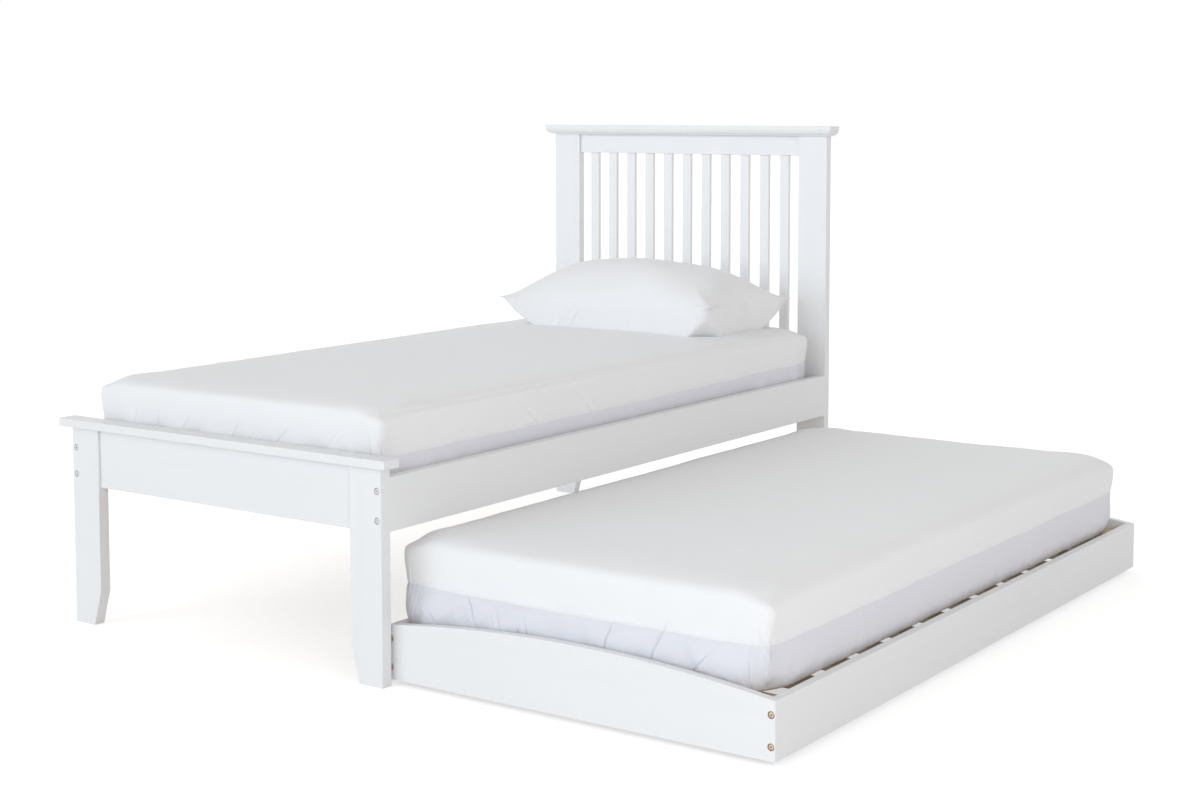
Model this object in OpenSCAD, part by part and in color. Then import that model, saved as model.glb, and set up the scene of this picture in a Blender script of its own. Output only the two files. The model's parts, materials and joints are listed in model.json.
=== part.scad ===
// Single bed with a slatted headboard and a roll-out trundle bed beside it.
// X runs from the bed to the pulled-out trundle, Y from foot to head, Z up.
// The origin is on the floor, in the middle of the whole footprint.

/* [Bed] */
// Width over the outer faces of the legs
bed_w = 980; // [960:1:1000]
// Length between the front of the footboard legs and the front of the headboard posts
bed_l = 1964; // [1955:1:1990]
// Clear height under the side rails and the footboard panel
bed_clearance = 336; // [332:1:345]
// Height of the side rails
rail_h = 118; // [110:1:130]
// Thickness of the side rails
rail_t = 24; // [22:1:26]

/* [Headboard] */
// Height to the top of the cap
head_h = 1186; // [1000:1:1300]
// Width of each post
post_w = 93; // [85:1:95]
// Thickness of each post
post_t = 26; // [24:1:32]
// Height of the rail under the cap
top_rail_h = 59; // [50:1:80]
// Thickness of the two cross rails
head_rail_t = 18; // [16:1:20]
// Number of spindles
spindle_n = 11; // [7:1:13]
// Width of each spindle
spindle_w = 30; // [22:1:32]
// Thickness of each spindle
spindle_t = 12; // [10:1:14]

/* [Footboard] */
// Height to the underside of the cap
foot_h = 478; // [470:1:520]
// Width of each leg
leg_w = 89; // [80:1:95]
// Thickness of each leg
leg_t = 29; // [26:1:32]
// Thickness of the panel between the legs
foot_panel_t = 18; // [15:1:20]
// Height over which the legs and posts taper towards the floor
taper_h = 84; // [60:1:120]
// Width that the taper takes off the inner side
taper_w = 24; // [10:1:30]

/* [Caps] */
// Thickness of the headboard cap
head_cap_h = 28; // [26:1:34]
// Overhang of the headboard cap past the sides and the front
head_cap_out = 24; // [24:1:30]
// Thickness of the footboard cap
foot_cap_h = 20; // [16:1:24]
// Overhang of the footboard cap past the sides
foot_cap_side = 26; // [15:1:30]
// Overhang of the footboard cap past the front
foot_cap_front = 19; // [12:1:24]

/* [Trundle] */
// Width over the long panels
trundle_w = 961; // [945:1:965]
// Distance from the bed's centreline to the trundle's, when pulled out
pull_out = 954.5; // [940:0.5:1000]
// Thickness of the panels
panel_t = 19; // [18:1:21]
// Height of the panels at the corners
panel_h = 118; // [112:1:124]
// Rise of the arched top edge of the two end panels
arch_rise = 33; // [0:1:40]
// Gap between the panels and the floor
floor_gap = 12; // [9:1:15]

/* [Slats] */
// Number of slats in each bed
slat_n = 13; // [10:1:15]
// Width of each slat
slat_w = 68; // [55:1:75]
// Thickness of each slat
slat_t = 14; // [12:1:18]

/* [Castors] */
// Diameter of the wheels
wheel_d = 50; // [44:1:50]
// Width of the wheels
wheel_w = 18; // [14:1:20]
// Diameter of the axles
axle_d = 6; // [5:0.5:8]

/* [Mattresses and pillow] */
// Thickness of both mattresses
mattress_h = 205; // [150:5:205]
// Width of the bed's mattress
bed_mattress_w = 916; // [880:1:920]
// Length of the bed's mattress
bed_mattress_l = 1900; // [1850:5:1905]
// Width of the trundle's mattress
trundle_mattress_w = 906; // [870:1:908]
// Length of the trundle's mattress
trundle_mattress_l = 1836; // [1800:1:1850]
// Size of the pillow along the bed's width
pillow_w = 740; // [600:5:760]
// Size of the pillow along the bed's length
pillow_d = 430; // [350:5:460]
// Height of the pillow
pillow_h = 194; // [120:2:200]

/* [Hidden] */
$fn = 64;

// Running clearances
wheel_clearance = 0.05;
screw_clearance = 0.2;
slat_end_gap = 3;

// Footprint, which puts the origin in its middle
foot_cap_back = 2;
head_cap_back = 5;
foot_cap_w = bed_w + 2 * foot_cap_side;
bed_x = -(pull_out + trundle_w / 2 - foot_cap_w / 2) / 2;
foot_y = -(bed_l + post_t + head_cap_back - foot_cap_front) / 2;
head_y = foot_y + bed_l;
trundle_x = bed_x + pull_out;

// Bed frame
rail_x = bed_w / 2 - rail_t / 2;
rail_y0 = foot_y + leg_t;
rail_l = bed_l - leg_t;
foot_recess = 6;
head_recess = 7;
head_rail_y = head_y + head_recess;
post_h = head_h - head_cap_h;
top_rail_z = post_h - top_rail_h;
bottom_rail_z = bed_clearance;
bottom_rail_h = rail_h;
post_gap = bed_w - 2 * post_w;
spindle_gap = (post_gap - spindle_n * spindle_w) / (spindle_n + 1);
spindle_z = bottom_rail_z + bottom_rail_h;

// Cap mouldings: a flat upper band over a quarter-round
cap_band_h = 13;
cap_ovolo_r = 12;
cap_foot_out = head_cap_out - cap_ovolo_r - 2;

// Bed slats and the ledgers that carry them
bed_ledger_w = 24;
bed_ledger_h = 36;
bed_ledger_inset = 45;
bed_ledger_z = bed_clearance + 4;
bed_slat_z = bed_ledger_z + bed_ledger_h;
bed_slat_l = bed_w - 2 * rail_t - 2 * slat_end_gap;
bed_slat_margin = 15;
bed_slat_pitch = (rail_l - 2 * bed_slat_margin - slat_w) / (slat_n - 1);
bed_slat_y0 = rail_y0 + bed_slat_margin + slat_w / 2;

// Trundle box
trundle_gap = 6;
trundle_y0 = foot_y + leg_t + trundle_gap;
trundle_l = bed_l - leg_t - 2 * trundle_gap;
trundle_in_w = trundle_w - 2 * panel_t;
trundle_in_l = trundle_l - 2 * panel_t;
trundle_in_y0 = trundle_y0 + panel_t;
arch_r = (pow(trundle_w / 2, 2) + pow(arch_rise, 2)) / (2 * max(arch_rise, 0.01));

// Castor stack from the floor up
wheel_r = wheel_d / 2;
fork_t = 2.5;
fork_w = 22;
fork_gap = 1;
plate_z = wheel_d + 3.5;
plate_x = 60;
plate_y = 56;
castor_block = 70;
castor_block_h = 18;
castor_block_z = plate_z + fork_t;
castor_side = 38;
castor_end = 75;

// Trundle slats and ledgers, on top of the castor blocks
trundle_ledger_w = 30;
trundle_ledger_h = 24;
trundle_ledger_z = castor_block_z + castor_block_h;
trundle_slat_z = trundle_ledger_z + trundle_ledger_h;
trundle_slat_l = trundle_in_w - 2 * slat_end_gap;
trundle_slat_margin = 7;
trundle_slat_pitch = (trundle_in_l - 2 * trundle_slat_margin - slat_w) / (slat_n - 1);
trundle_slat_y0 = trundle_in_y0 + trundle_slat_margin + slat_w / 2;

// Connector bolts with barrel nuts
bolt_d = 6;
bolt_hole_d = 6.6;
bolt_head_d = 11;
bolt_head_h = 5;
bolt_socket_w = 5;
bolt_socket_h = 3;
bolt_recess_d = 15;
bolt_recess_h = 6;
bolt_past_nut = 9;
nut_d = 10;
nut_hole_d = 10.2;
nut_from_joint = 32;
bed_nut_l = 16;
trundle_nut_l = 13;
bed_bolt_dz = 32;
trundle_bolt_dz = 31;
bed_bolt_z = bed_clearance + rail_h / 2;
trundle_bolt_z = floor_gap + panel_h / 2;

// Wood screws
screw_head_d = 8;
screw_d = 4;
screw_l = 30;
castor_screw_l = 14;
castor_screw_head_h = 2;
castor_screw_dx = 24;
castor_screw_dy = 22;

// Soft goods
mattress_corner_r = 40;
bed_mattress_z = bed_slat_z + slat_t;
bed_mattress_y0 = foot_y + 45;
trundle_mattress_z = trundle_slat_z + slat_t;
trundle_mattress_y0 = trundle_in_y0 + 32;
trundle_mattress_x = trundle_x - trundle_in_w / 2 + 1 + trundle_mattress_w / 2;
pillow_x = bed_x + 33;
pillow_y = head_y - 32 - pillow_d / 2;
pillow_z = bed_mattress_z + mattress_h;
pillow_seam_h = 82;
pillow_rim = 8;

PAINT = [0.95, 0.95, 0.95];
PINE = [0.85, 0.72, 0.52];
YELLOW_ZINC = [0.78, 0.62, 0.36];
ZINC = [0.75, 0.76, 0.78];
NYLON = [0.22, 0.22, 0.23];
SHEET = [0.97, 0.97, 0.98];

// ---- helpers ----

// A box from its low corner and its size
module box(corner, size) {
    translate(corner) cube(size);
}

// Puts a flat outline drawn in X and Z upright, and gives it a thickness along Y
module upright(y0, thickness) {
    translate([0, y0 + thickness, 0]) rotate([90, 0, 0]) linear_extrude(thickness) children();
}

// A cylinder along +Y
module rod_y(d, length) {
    rotate([-90, 0, 0]) cylinder(d = d, h = length);
}

// A cylinder along X, centred
module rod_x(d, length) {
    rotate([0, 90, 0]) cylinder(d = d, h = length, center = true);
}

// Outline of a leg whose inner side, towards +X, tapers to the floor
module leg_outline(w, h) {
    polygon([[0, 0], [w - taper_w, 0], [w, taper_h], [w, h], [0, h]]);
}

// A countersunk wood screw pointing down, with its head flush at z = 0
module wood_screw(grow = 0) {
    translate([0, 0, -screw_l]) cylinder(d = screw_d + grow, h = screw_l);
    translate([0, 0, -screw_d / 2]) cylinder(d1 = screw_d + grow, d2 = screw_head_d + grow, h = screw_d / 2);
}

// A connector bolt along +Y whose head starts at y = 0
module connector_bolt(length) {
    difference() {
        union() {
            rod_y(bolt_head_d, bolt_head_h);
            rod_y(bolt_d, length);
        }
        translate([0, -1, 0]) rotate([-90, 0, 0])
            cylinder(d = bolt_socket_w / cos(30), h = bolt_socket_h + 1, $fn = 6);
    }
}

// Recess and clearance hole for a connector bolt, entered at y = 0 and going towards +Y
module bolt_passage(thickness) {
    translate([0, -1, 0]) rod_y(bolt_recess_d, bolt_recess_h + 1);
    translate([0, -1, 0]) rod_y(bolt_hole_d, thickness + 2);
}

// Bolt bore in the end grain at y = 0 and the cross hole for its barrel nut, open towards -X
module nut_bore(nut_l, inner_depth) {
    translate([0, -1, 0]) rod_y(bolt_hole_d, nut_from_joint + bolt_past_nut + 2);
    translate([(nut_l / 2 - inner_depth) / 2, nut_from_joint, 0])
        rod_x(nut_hole_d, nut_l / 2 + inner_depth + 0.02);
}

// A barrel nut with its cross bore along Y
module barrel_nut(length) {
    difference() {
        rod_x(nut_d, length);
        translate([0, -nut_d, 0]) rod_y(bolt_d + screw_clearance, 2 * nut_d);
    }
}

// Children at the two bolt heights of one joint
module at_bolt_heights(z, dz) {
    for (side = [-1, 1]) translate([0, 0, z + side * dz]) children();
}

// Children at the four corners of the bed's joints, with +Y pointing into the rail
module at_bed_joints() {
    for (sx = [-1, 1]) {
        translate([bed_x + sx * rail_x, rail_y0, 0]) scale_x(sx)
            at_bolt_heights(bed_bolt_z, bed_bolt_dz) children();
        translate([bed_x + sx * rail_x, head_y, 0]) mirror([0, 1, 0]) scale_x(sx)
            at_bolt_heights(bed_bolt_z, bed_bolt_dz) children();
    }
}

// Children at the four corners of the trundle's joints, with +Y pointing into the long panel
module at_trundle_joints() {
    for (sx = [-1, 1]) {
        translate([trundle_x + sx * (trundle_w - panel_t) / 2, trundle_in_y0, 0]) scale_x(sx)
            at_bolt_heights(trundle_bolt_z, trundle_bolt_dz) children();
        translate([trundle_x + sx * (trundle_w - panel_t) / 2, trundle_in_y0 + trundle_in_l, 0])
            mirror([0, 1, 0]) scale_x(sx)
            at_bolt_heights(trundle_bolt_z, trundle_bolt_dz) children();
    }
}

// Mirrors children across X when the side is -1
module scale_x(side) {
    if (side < 0) mirror([1, 0, 0]) children();
    else children();
}

// Children at the four castors, each at the wheel's centre
module at_castors() {
    for (sx = [-1, 1]) for (sy = [-1, 1]) translate(castor_centre(sx, sy)) children();
}

function castor_centre(sx, sy) = [
    trundle_x + sx * (trundle_in_w / 2 - castor_side),
    trundle_in_y0 + trundle_in_l / 2 + sy * (trundle_in_l / 2 - castor_end),
    wheel_r
];

// Children at both ends of every slat, above the middle of the ledgers
module at_slat_ends(x, half, y0, pitch, z) {
    for (i = [0 : slat_n - 1]) for (side = [-1, 1])
        translate([x + side * half, y0 + i * pitch, z]) children();
}

module at_bed_slat_screws() {
    at_slat_ends(bed_x, bed_w / 2 - rail_t - bed_ledger_w / 2,
        bed_slat_y0, bed_slat_pitch, bed_slat_z + slat_t) children();
}

module at_trundle_slat_screws() {
    at_slat_ends(trundle_x, trundle_in_w / 2 - trundle_ledger_w / 2,
        trundle_slat_y0, trundle_slat_pitch, trundle_slat_z + slat_t) children();
}

// ---- headboard ----

module headboard_post(side) {
    color(PAINT) difference() {
        translate([bed_x, 0, 0]) scale_x(-side) translate([-bed_w / 2, 0, 0])
            upright(head_y, post_t) leg_outline(post_w, post_h);
        head_bolt_passages();
    }
}

module head_bolt_passages() {
    for (sx = [-1, 1]) translate([bed_x + sx * rail_x, head_y + post_t, 0]) mirror([0, 1, 0])
        at_bolt_heights(bed_bolt_z, bed_bolt_dz) bolt_passage(post_t);
}

module headboard_top_rail() {
    color(PAINT)
        box([bed_x - post_gap / 2, head_rail_y, top_rail_z], [post_gap, head_rail_t, top_rail_h]);
}

module headboard_bottom_rail() {
    color(PAINT)
        box([bed_x - post_gap / 2, head_rail_y, bottom_rail_z], [post_gap, head_rail_t, bottom_rail_h]);
}

module headboard_spindle(i) {
    x = bed_x - post_gap / 2 + i * spindle_gap + (i - 1) * spindle_w;
    y = head_rail_y + (head_rail_t - spindle_t) / 2;
    color(PAINT) box([x, y, spindle_z], [spindle_w, spindle_t, top_rail_z - spindle_z]);
}

// The moulding runs along the front and returns round both ends
module headboard_cap() {
    half = bed_w / 2;
    low_h = head_cap_h - cap_band_h;
    color(PAINT) translate([bed_x, head_y, post_h]) intersection() {
        upright(-head_cap_out, post_t + head_cap_back + head_cap_out) {
            translate([-half - head_cap_out, low_h]) square([bed_w + 2 * head_cap_out, cap_band_h]);
            translate([-half - cap_foot_out, 0]) square([bed_w + 2 * cap_foot_out, low_h]);
            for (side = [-1, 1]) translate([side * (half + cap_foot_out), low_h]) circle(cap_ovolo_r);
        }
        rotate([90, 0, 90]) translate([0, 0, -half - head_cap_out])
            linear_extrude(bed_w + 2 * head_cap_out) {
                translate([-head_cap_out, low_h])
                    square([head_cap_out + post_t + head_cap_back, cap_band_h]);
                translate([-cap_foot_out, 0])
                    square([cap_foot_out + post_t + head_cap_back, low_h]);
                translate([-cap_foot_out, low_h]) circle(cap_ovolo_r);
            }
    }
}

// ---- footboard ----

module footboard_leg(side) {
    color(PAINT) difference() {
        translate([bed_x, 0, 0]) scale_x(-side) translate([-bed_w / 2, 0, 0])
            upright(foot_y, leg_t) leg_outline(leg_w, foot_h);
        for (sx = [-1, 1]) translate([bed_x + sx * rail_x, foot_y, 0])
            at_bolt_heights(bed_bolt_z, bed_bolt_dz) bolt_passage(leg_t);
    }
}

module footboard_panel() {
    color(PAINT) box([bed_x - bed_w / 2 + leg_w, foot_y + foot_recess, bed_clearance],
        [bed_w - 2 * leg_w, foot_panel_t, foot_h - bed_clearance]);
}

module footboard_cap() {
    color(PAINT) box([bed_x - foot_cap_w / 2, foot_y - foot_cap_front, foot_h],
        [foot_cap_w, foot_cap_front + leg_t + foot_cap_back, foot_cap_h]);
}

// ---- side rails and bed slats ----

module side_rail(side) {
    color(PAINT) difference() {
        box([bed_x + side * rail_x - rail_t / 2, rail_y0, bed_clearance], [rail_t, rail_l, rail_h]);
        at_bed_joints() nut_bore(bed_nut_l, rail_t / 2 + 1);
    }
}

module bed_slat_ledgers() {
    color(PINE) difference() {
        for (side = [-1, 1])
            translate([bed_x + side * (bed_w / 2 - rail_t - bed_ledger_w / 2), 0, 0])
                box([-bed_ledger_w / 2, rail_y0 + bed_ledger_inset, bed_ledger_z],
                    [bed_ledger_w, rail_l - 2 * bed_ledger_inset, bed_ledger_h]);
        at_bed_slat_screws() wood_screw(screw_clearance);
    }
}

module bed_slats() {
    color(PINE) difference() {
        for (i = [0 : slat_n - 1])
            box([bed_x - bed_slat_l / 2, bed_slat_y0 + i * bed_slat_pitch - slat_w / 2, bed_slat_z],
                [bed_slat_l, slat_w, slat_t]);
        at_bed_slat_screws() wood_screw(screw_clearance);
    }
}

module bed_slat_screws() {
    color(ZINC) at_bed_slat_screws() wood_screw();
}

module bed_bolts() {
    foot_grip = leg_t - bolt_recess_h;
    head_grip = post_t - bolt_recess_h;
    color(ZINC) for (sx = [-1, 1]) {
        translate([bed_x + sx * rail_x, foot_y + bolt_recess_h - bolt_head_h, 0])
            at_bolt_heights(bed_bolt_z, bed_bolt_dz)
            connector_bolt(bolt_head_h + foot_grip + nut_from_joint + bolt_past_nut);
        translate([bed_x + sx * rail_x, head_y + post_t - bolt_recess_h + bolt_head_h, 0])
            mirror([0, 1, 0]) at_bolt_heights(bed_bolt_z, bed_bolt_dz)
            connector_bolt(bolt_head_h + head_grip + nut_from_joint + bolt_past_nut);
    }
}

module bed_barrel_nuts() {
    color(ZINC) at_bed_joints() translate([0, nut_from_joint, 0]) barrel_nut(bed_nut_l);
}

// ---- mattresses and pillow ----

module mattress(size) {
    r = mattress_corner_r;
    linear_extrude(size.z) translate([size.x / 2, size.y / 2]) {
        square([size.x - 2 * r, size.y], center = true);
        square([size.x, size.y - 2 * r], center = true);
        for (sx = [-1, 1]) for (sy = [-1, 1])
            translate([sx * (size.x / 2 - r), sy * (size.y / 2 - r)]) circle(r);
    }
}

module upper_mattress() {
    color(SHEET) translate([bed_x - bed_mattress_w / 2, bed_mattress_y0, bed_mattress_z])
        mattress([bed_mattress_w, bed_mattress_l, mattress_h]);
}

module trundle_mattress() {
    color(SHEET)
        translate([trundle_mattress_x - trundle_mattress_w / 2, trundle_mattress_y0, trundle_mattress_z])
        mattress([trundle_mattress_w, trundle_mattress_l, mattress_h]);
}

// A plump pillow: a thin seam rim at mid height between a flat base and a flat crown
module pillow() {
    base = [0.62 * pillow_w, 0.62 * pillow_d];
    crown = [0.42 * pillow_w, 0.34 * pillow_d];
    color(SHEET) translate([pillow_x, pillow_y, pillow_z]) hull() {
        linear_extrude(1) square(base, center = true);
        translate([0, 0, pillow_seam_h]) linear_extrude(pillow_rim)
            square([pillow_w, pillow_d], center = true);
        translate([0, 0, pillow_h - 1]) linear_extrude(1) square(crown, center = true);
        translate([0, 0, pillow_h * 0.8]) linear_extrude(1)
            square([0.72 * pillow_w, 0.68 * pillow_d], center = true);
    }
}

// ---- trundle box ----

module end_panel(y0) {
    upright(y0, panel_t) intersection() {
        translate([trundle_x - trundle_w / 2, floor_gap])
            square([trundle_w, panel_h + arch_rise]);
        translate([trundle_x, floor_gap + panel_h + arch_rise - arch_r]) circle(arch_r, $fn = 360);
    }
}

module trundle_foot_panel() {
    color(PAINT) difference() {
        end_panel(trundle_y0);
        for (sx = [-1, 1]) translate([trundle_x + sx * (trundle_w - panel_t) / 2, trundle_y0, 0])
            at_bolt_heights(trundle_bolt_z, trundle_bolt_dz) bolt_passage(panel_t);
    }
}

module trundle_head_panel() {
    back = trundle_y0 + trundle_l;
    color(PAINT) difference() {
        end_panel(back - panel_t);
        for (sx = [-1, 1]) translate([trundle_x + sx * (trundle_w - panel_t) / 2, back, 0])
            mirror([0, 1, 0]) at_bolt_heights(trundle_bolt_z, trundle_bolt_dz) bolt_passage(panel_t);
    }
}

module trundle_long_panel(side) {
    color(PAINT) difference() {
        box([trundle_x + side * (trundle_w - panel_t) / 2 - panel_t / 2, trundle_in_y0, floor_gap],
            [panel_t, trundle_in_l, panel_h]);
        at_trundle_joints() nut_bore(trundle_nut_l, panel_t / 2 + 1);
    }
}

module trundle_slat_ledgers() {
    color(PINE) difference() {
        for (side = [-1, 1])
            translate([trundle_x + side * (trundle_in_w - trundle_ledger_w) / 2, 0, 0])
                box([-trundle_ledger_w / 2, trundle_in_y0, trundle_ledger_z],
                    [trundle_ledger_w, trundle_in_l, trundle_ledger_h]);
        at_trundle_slat_screws() wood_screw(screw_clearance);
    }
}

module trundle_slat(i) {
    y = trundle_slat_y0 + (i - 1) * trundle_slat_pitch;
    color(PINE) difference() {
        box([trundle_x - trundle_slat_l / 2, y - slat_w / 2, trundle_slat_z],
            [trundle_slat_l, slat_w, slat_t]);
        for (side = [-1, 1])
            translate([trundle_x + side * (trundle_in_w - trundle_ledger_w) / 2, y, trundle_slat_z + slat_t])
                wood_screw(screw_clearance);
    }
}

module trundle_slat_screws() {
    color(ZINC) at_trundle_slat_screws() wood_screw();
}

module trundle_bolts() {
    length = bolt_head_h + panel_t - bolt_recess_h + nut_from_joint + bolt_past_nut;
    color(YELLOW_ZINC) for (sx = [-1, 1]) {
        translate([trundle_x + sx * (trundle_w - panel_t) / 2,
            trundle_y0 + bolt_recess_h - bolt_head_h, 0])
            at_bolt_heights(trundle_bolt_z, trundle_bolt_dz) connector_bolt(length);
        translate([trundle_x + sx * (trundle_w - panel_t) / 2,
            trundle_y0 + trundle_l - bolt_recess_h + bolt_head_h, 0])
            mirror([0, 1, 0]) at_bolt_heights(trundle_bolt_z, trundle_bolt_dz) connector_bolt(length);
    }
}

module trundle_barrel_nuts() {
    color(ZINC) at_trundle_joints() translate([0, nut_from_joint, 0]) barrel_nut(trundle_nut_l);
}

// ---- castors ----

module at_castor_screws() {
    at_castors() for (sx = [-1, 1]) for (sy = [-1, 1])
        translate([sx * castor_screw_dx, sy * castor_screw_dy, plate_z - wheel_r]) children();
}

// The outer side of each block touches a long panel's inner face
module castor_blocks() {
    color(PINE) difference() {
        for (sx = [-1, 1]) for (sy = [-1, 1])
            translate([castor_centre(sx, sy).x + sx * (castor_side - castor_block / 2),
                castor_centre(sx, sy).y, castor_block_z + castor_block_h / 2])
                cube([castor_block, castor_block, castor_block_h], center = true);
        at_castor_screws() cylinder(d = 3.5 + screw_clearance, h = castor_screw_l + fork_t);
    }
}

module castor_brackets() {
    color(ZINC) difference() {
        at_castors() {
            translate([-plate_x / 2, -plate_y / 2, plate_z - wheel_r]) cube([plate_x, plate_y, fork_t]);
            for (side = [-1, 1])
                translate([0, side * (wheel_w / 2 + fork_gap + fork_t / 2), 0]) fork_cheek();
        }
        at_castor_screws() translate([0, 0, -1]) cylinder(d = 4, h = fork_t + 2);
    }
}

// One side of the fork: a flat strap with a round end, bored for the axle
module fork_cheek() {
    translate([0, fork_t / 2, 0]) rotate([90, 0, 0]) linear_extrude(fork_t) difference() {
        union() {
            translate([-fork_w / 2, 0]) square([fork_w, plate_z - wheel_r + fork_t / 2]);
            intersection() {
                circle(fork_w / 2);
                translate([-fork_w / 2, -wheel_r + 15]) square([fork_w, fork_w]);
            }
        }
        circle(d = axle_d);
    }
}

module castor_axles() {
    half = wheel_w / 2 + fork_gap + fork_t;
    color(ZINC) at_castors() {
        translate([0, -half, 0]) rod_y(axle_d, 2 * half);
        translate([0, -half - 2, 0]) rod_y(axle_d + 4, 2);
        translate([0, half, 0]) rod_y(axle_d + 4, 2);
    }
}

module castor_screws() {
    color(ZINC) at_castor_screws() {
        cylinder(d = 3.5, h = castor_screw_l);
        translate([0, 0, -castor_screw_head_h]) cylinder(d = 7, h = castor_screw_head_h);
    }
}

// A solid wheel with eased tread edges and a shallow dish on both sides
module castor_wheel(sx, sy) {
    ease = 3;
    hub_r = 9;
    dish = 3;
    color(NYLON) translate(castor_centre(sx, sy)) rotate([90, 0, 0]) rotate_extrude($fn = 96)
        difference() {
            union() {
                translate([axle_d / 2 + wheel_clearance, -wheel_w / 2])
                    square([wheel_r - ease - axle_d / 2 - wheel_clearance, wheel_w]);
                translate([axle_d / 2 + wheel_clearance, -wheel_w / 2 + ease])
                    square([wheel_r - axle_d / 2 - wheel_clearance, wheel_w - 2 * ease]);
                for (side = [-1, 1])
                    translate([wheel_r - ease, side * (wheel_w / 2 - ease)]) circle(ease);
            }
            for (side = [-1, 1])
                translate([hub_r, side * wheel_w / 2 - dish / 2]) square([wheel_r - 7 - hub_r, dish]);
        }
}

// ---- every node ----

headboard_post(-1);  // headboard_post_left
headboard_post(1);  // headboard_post_right
headboard_top_rail();
headboard_bottom_rail();
headboard_cap();
for (i = [1 : spindle_n])
    headboard_spindle(i);
footboard_leg(-1);  // footboard_leg_left
footboard_leg(1);  // footboard_leg_right
footboard_panel();
footboard_cap();
side_rail(-1);  // side_rail_left
side_rail(1);  // side_rail_right
bed_slat_ledgers();
bed_slats();
bed_slat_screws();
bed_bolts();
bed_barrel_nuts();
upper_mattress();
pillow();
trundle_foot_panel();
trundle_head_panel();
trundle_long_panel(-1);  // trundle_left_panel
trundle_long_panel(1);  // trundle_right_panel
trundle_slat_ledgers();
for (i = [1 : slat_n])
    trundle_slat(i);
trundle_slat_screws();
trundle_bolts();
trundle_barrel_nuts();
castor_blocks();
castor_brackets();
castor_axles();
castor_screws();
castor_wheel(-1, -1);  // castor_wheel_foot_left
castor_wheel(1, -1);  // castor_wheel_foot_right
castor_wheel(-1, 1);  // castor_wheel_head_left
castor_wheel(1, 1);  // castor_wheel_head_right
trundle_mattress();
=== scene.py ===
"""Looks of a white painted single bed and the trundle bed that rolls out from under its side.

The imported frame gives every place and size. Boards are eased copies of their CAD nodes, what
repeats is set out by Geometry Nodes, and the mattresses and the pillow are inflated as cloth.
X runs from the bed to the trundle, Y from foot to head, Z up, in metres.
"""

import json
import math
import random

import bmesh
import bpy
import numpy as np
from mathutils import Matrix, Vector, noise

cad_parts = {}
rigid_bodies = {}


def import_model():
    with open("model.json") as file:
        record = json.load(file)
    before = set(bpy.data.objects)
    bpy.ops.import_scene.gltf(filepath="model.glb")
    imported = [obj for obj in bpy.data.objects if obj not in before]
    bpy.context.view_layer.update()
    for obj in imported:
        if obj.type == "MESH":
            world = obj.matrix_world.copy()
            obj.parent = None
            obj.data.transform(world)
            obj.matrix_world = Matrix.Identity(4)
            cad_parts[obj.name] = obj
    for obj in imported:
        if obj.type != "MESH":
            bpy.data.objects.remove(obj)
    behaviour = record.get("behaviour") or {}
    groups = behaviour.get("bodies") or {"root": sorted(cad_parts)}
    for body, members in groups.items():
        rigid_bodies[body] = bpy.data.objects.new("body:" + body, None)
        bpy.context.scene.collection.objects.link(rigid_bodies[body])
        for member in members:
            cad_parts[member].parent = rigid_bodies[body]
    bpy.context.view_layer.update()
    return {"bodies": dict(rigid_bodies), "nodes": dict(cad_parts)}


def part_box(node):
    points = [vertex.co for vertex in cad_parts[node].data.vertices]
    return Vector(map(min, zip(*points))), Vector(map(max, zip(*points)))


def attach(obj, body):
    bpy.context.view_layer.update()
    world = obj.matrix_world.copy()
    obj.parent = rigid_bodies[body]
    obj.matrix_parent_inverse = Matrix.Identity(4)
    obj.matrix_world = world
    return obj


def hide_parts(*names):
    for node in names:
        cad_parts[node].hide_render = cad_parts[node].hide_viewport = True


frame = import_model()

NODES = frame["nodes"]
MM = 0.001
AXES = "xyz"
SHARP = math.radians(35)


# ---------------------------------------------------------------- nodes of shaders and geometry


def add_node(tree, kind, inputs=None, **settings):
    """One node of a tree. Its inputs are given by name or number, as values or as sockets."""
    made = tree.nodes.new(kind)
    for name, value in settings.items():
        setattr(made, name, value)
    for name, value in (inputs or {}).items():
        if isinstance(value, bpy.types.NodeSocket):
            tree.links.new(value, made.inputs[name])
        else:
            made.inputs[name].default_value = value
    return made


def new_finish(name):
    """An empty node material, its tree, its shader and its Object coordinates."""
    finish = bpy.data.materials.new(name)
    finish.use_nodes = True
    tree = finish.node_tree
    shader = tree.nodes["Principled BSDF"]
    place = add_node(tree, "ShaderNodeTexCoord").outputs["Object"]
    return finish, tree, shader, place


def stretched(tree, place, scale):
    """Coordinates scaled along each axis."""
    return add_node(tree, "ShaderNodeMapping", {"Vector": place, "Scale": scale}).outputs[0]


def noise_of(tree, place, scale, detail=3.0, distortion=0.0):
    inputs = {"Vector": place, "Scale": scale, "Detail": detail, "Distortion": distortion}
    return add_node(tree, "ShaderNodeTexNoise", inputs).outputs["Fac"]


def blend_colours(tree, factor, first, second):
    inputs = {"Factor": factor, 6: first, 7: second}
    return add_node(tree, "ShaderNodeMix", inputs, data_type="RGBA").outputs[2]


def remap(tree, value, low, high, to_low, to_high):
    inputs = {
        "Value": value, "From Min": low, "From Max": high, "To Min": to_low, "To Max": to_high,
    }
    return add_node(tree, "ShaderNodeMapRange", inputs).outputs[0]


def calculate(tree, operation, *values):
    inputs = dict(enumerate(values))
    return add_node(tree, "ShaderNodeMath", inputs, operation=operation).outputs[0]


def bump_of(tree, height, strength, distance, under=None):
    inputs = {"Height": height, "Strength": strength, "Distance": distance}
    if under is not None:
        inputs["Normal"] = under
    return add_node(tree, "ShaderNodeBump", inputs).outputs[0]


def connect(tree, shader, **sockets):
    for name, socket in sockets.items():
        tree.links.new(socket, shader.inputs[name.replace("_", " ")])


def grain_scale(axis, along, across):
    return [along if name == axis else across for name in AXES]


# ---------------------------------------------------------------- finishes


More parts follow.
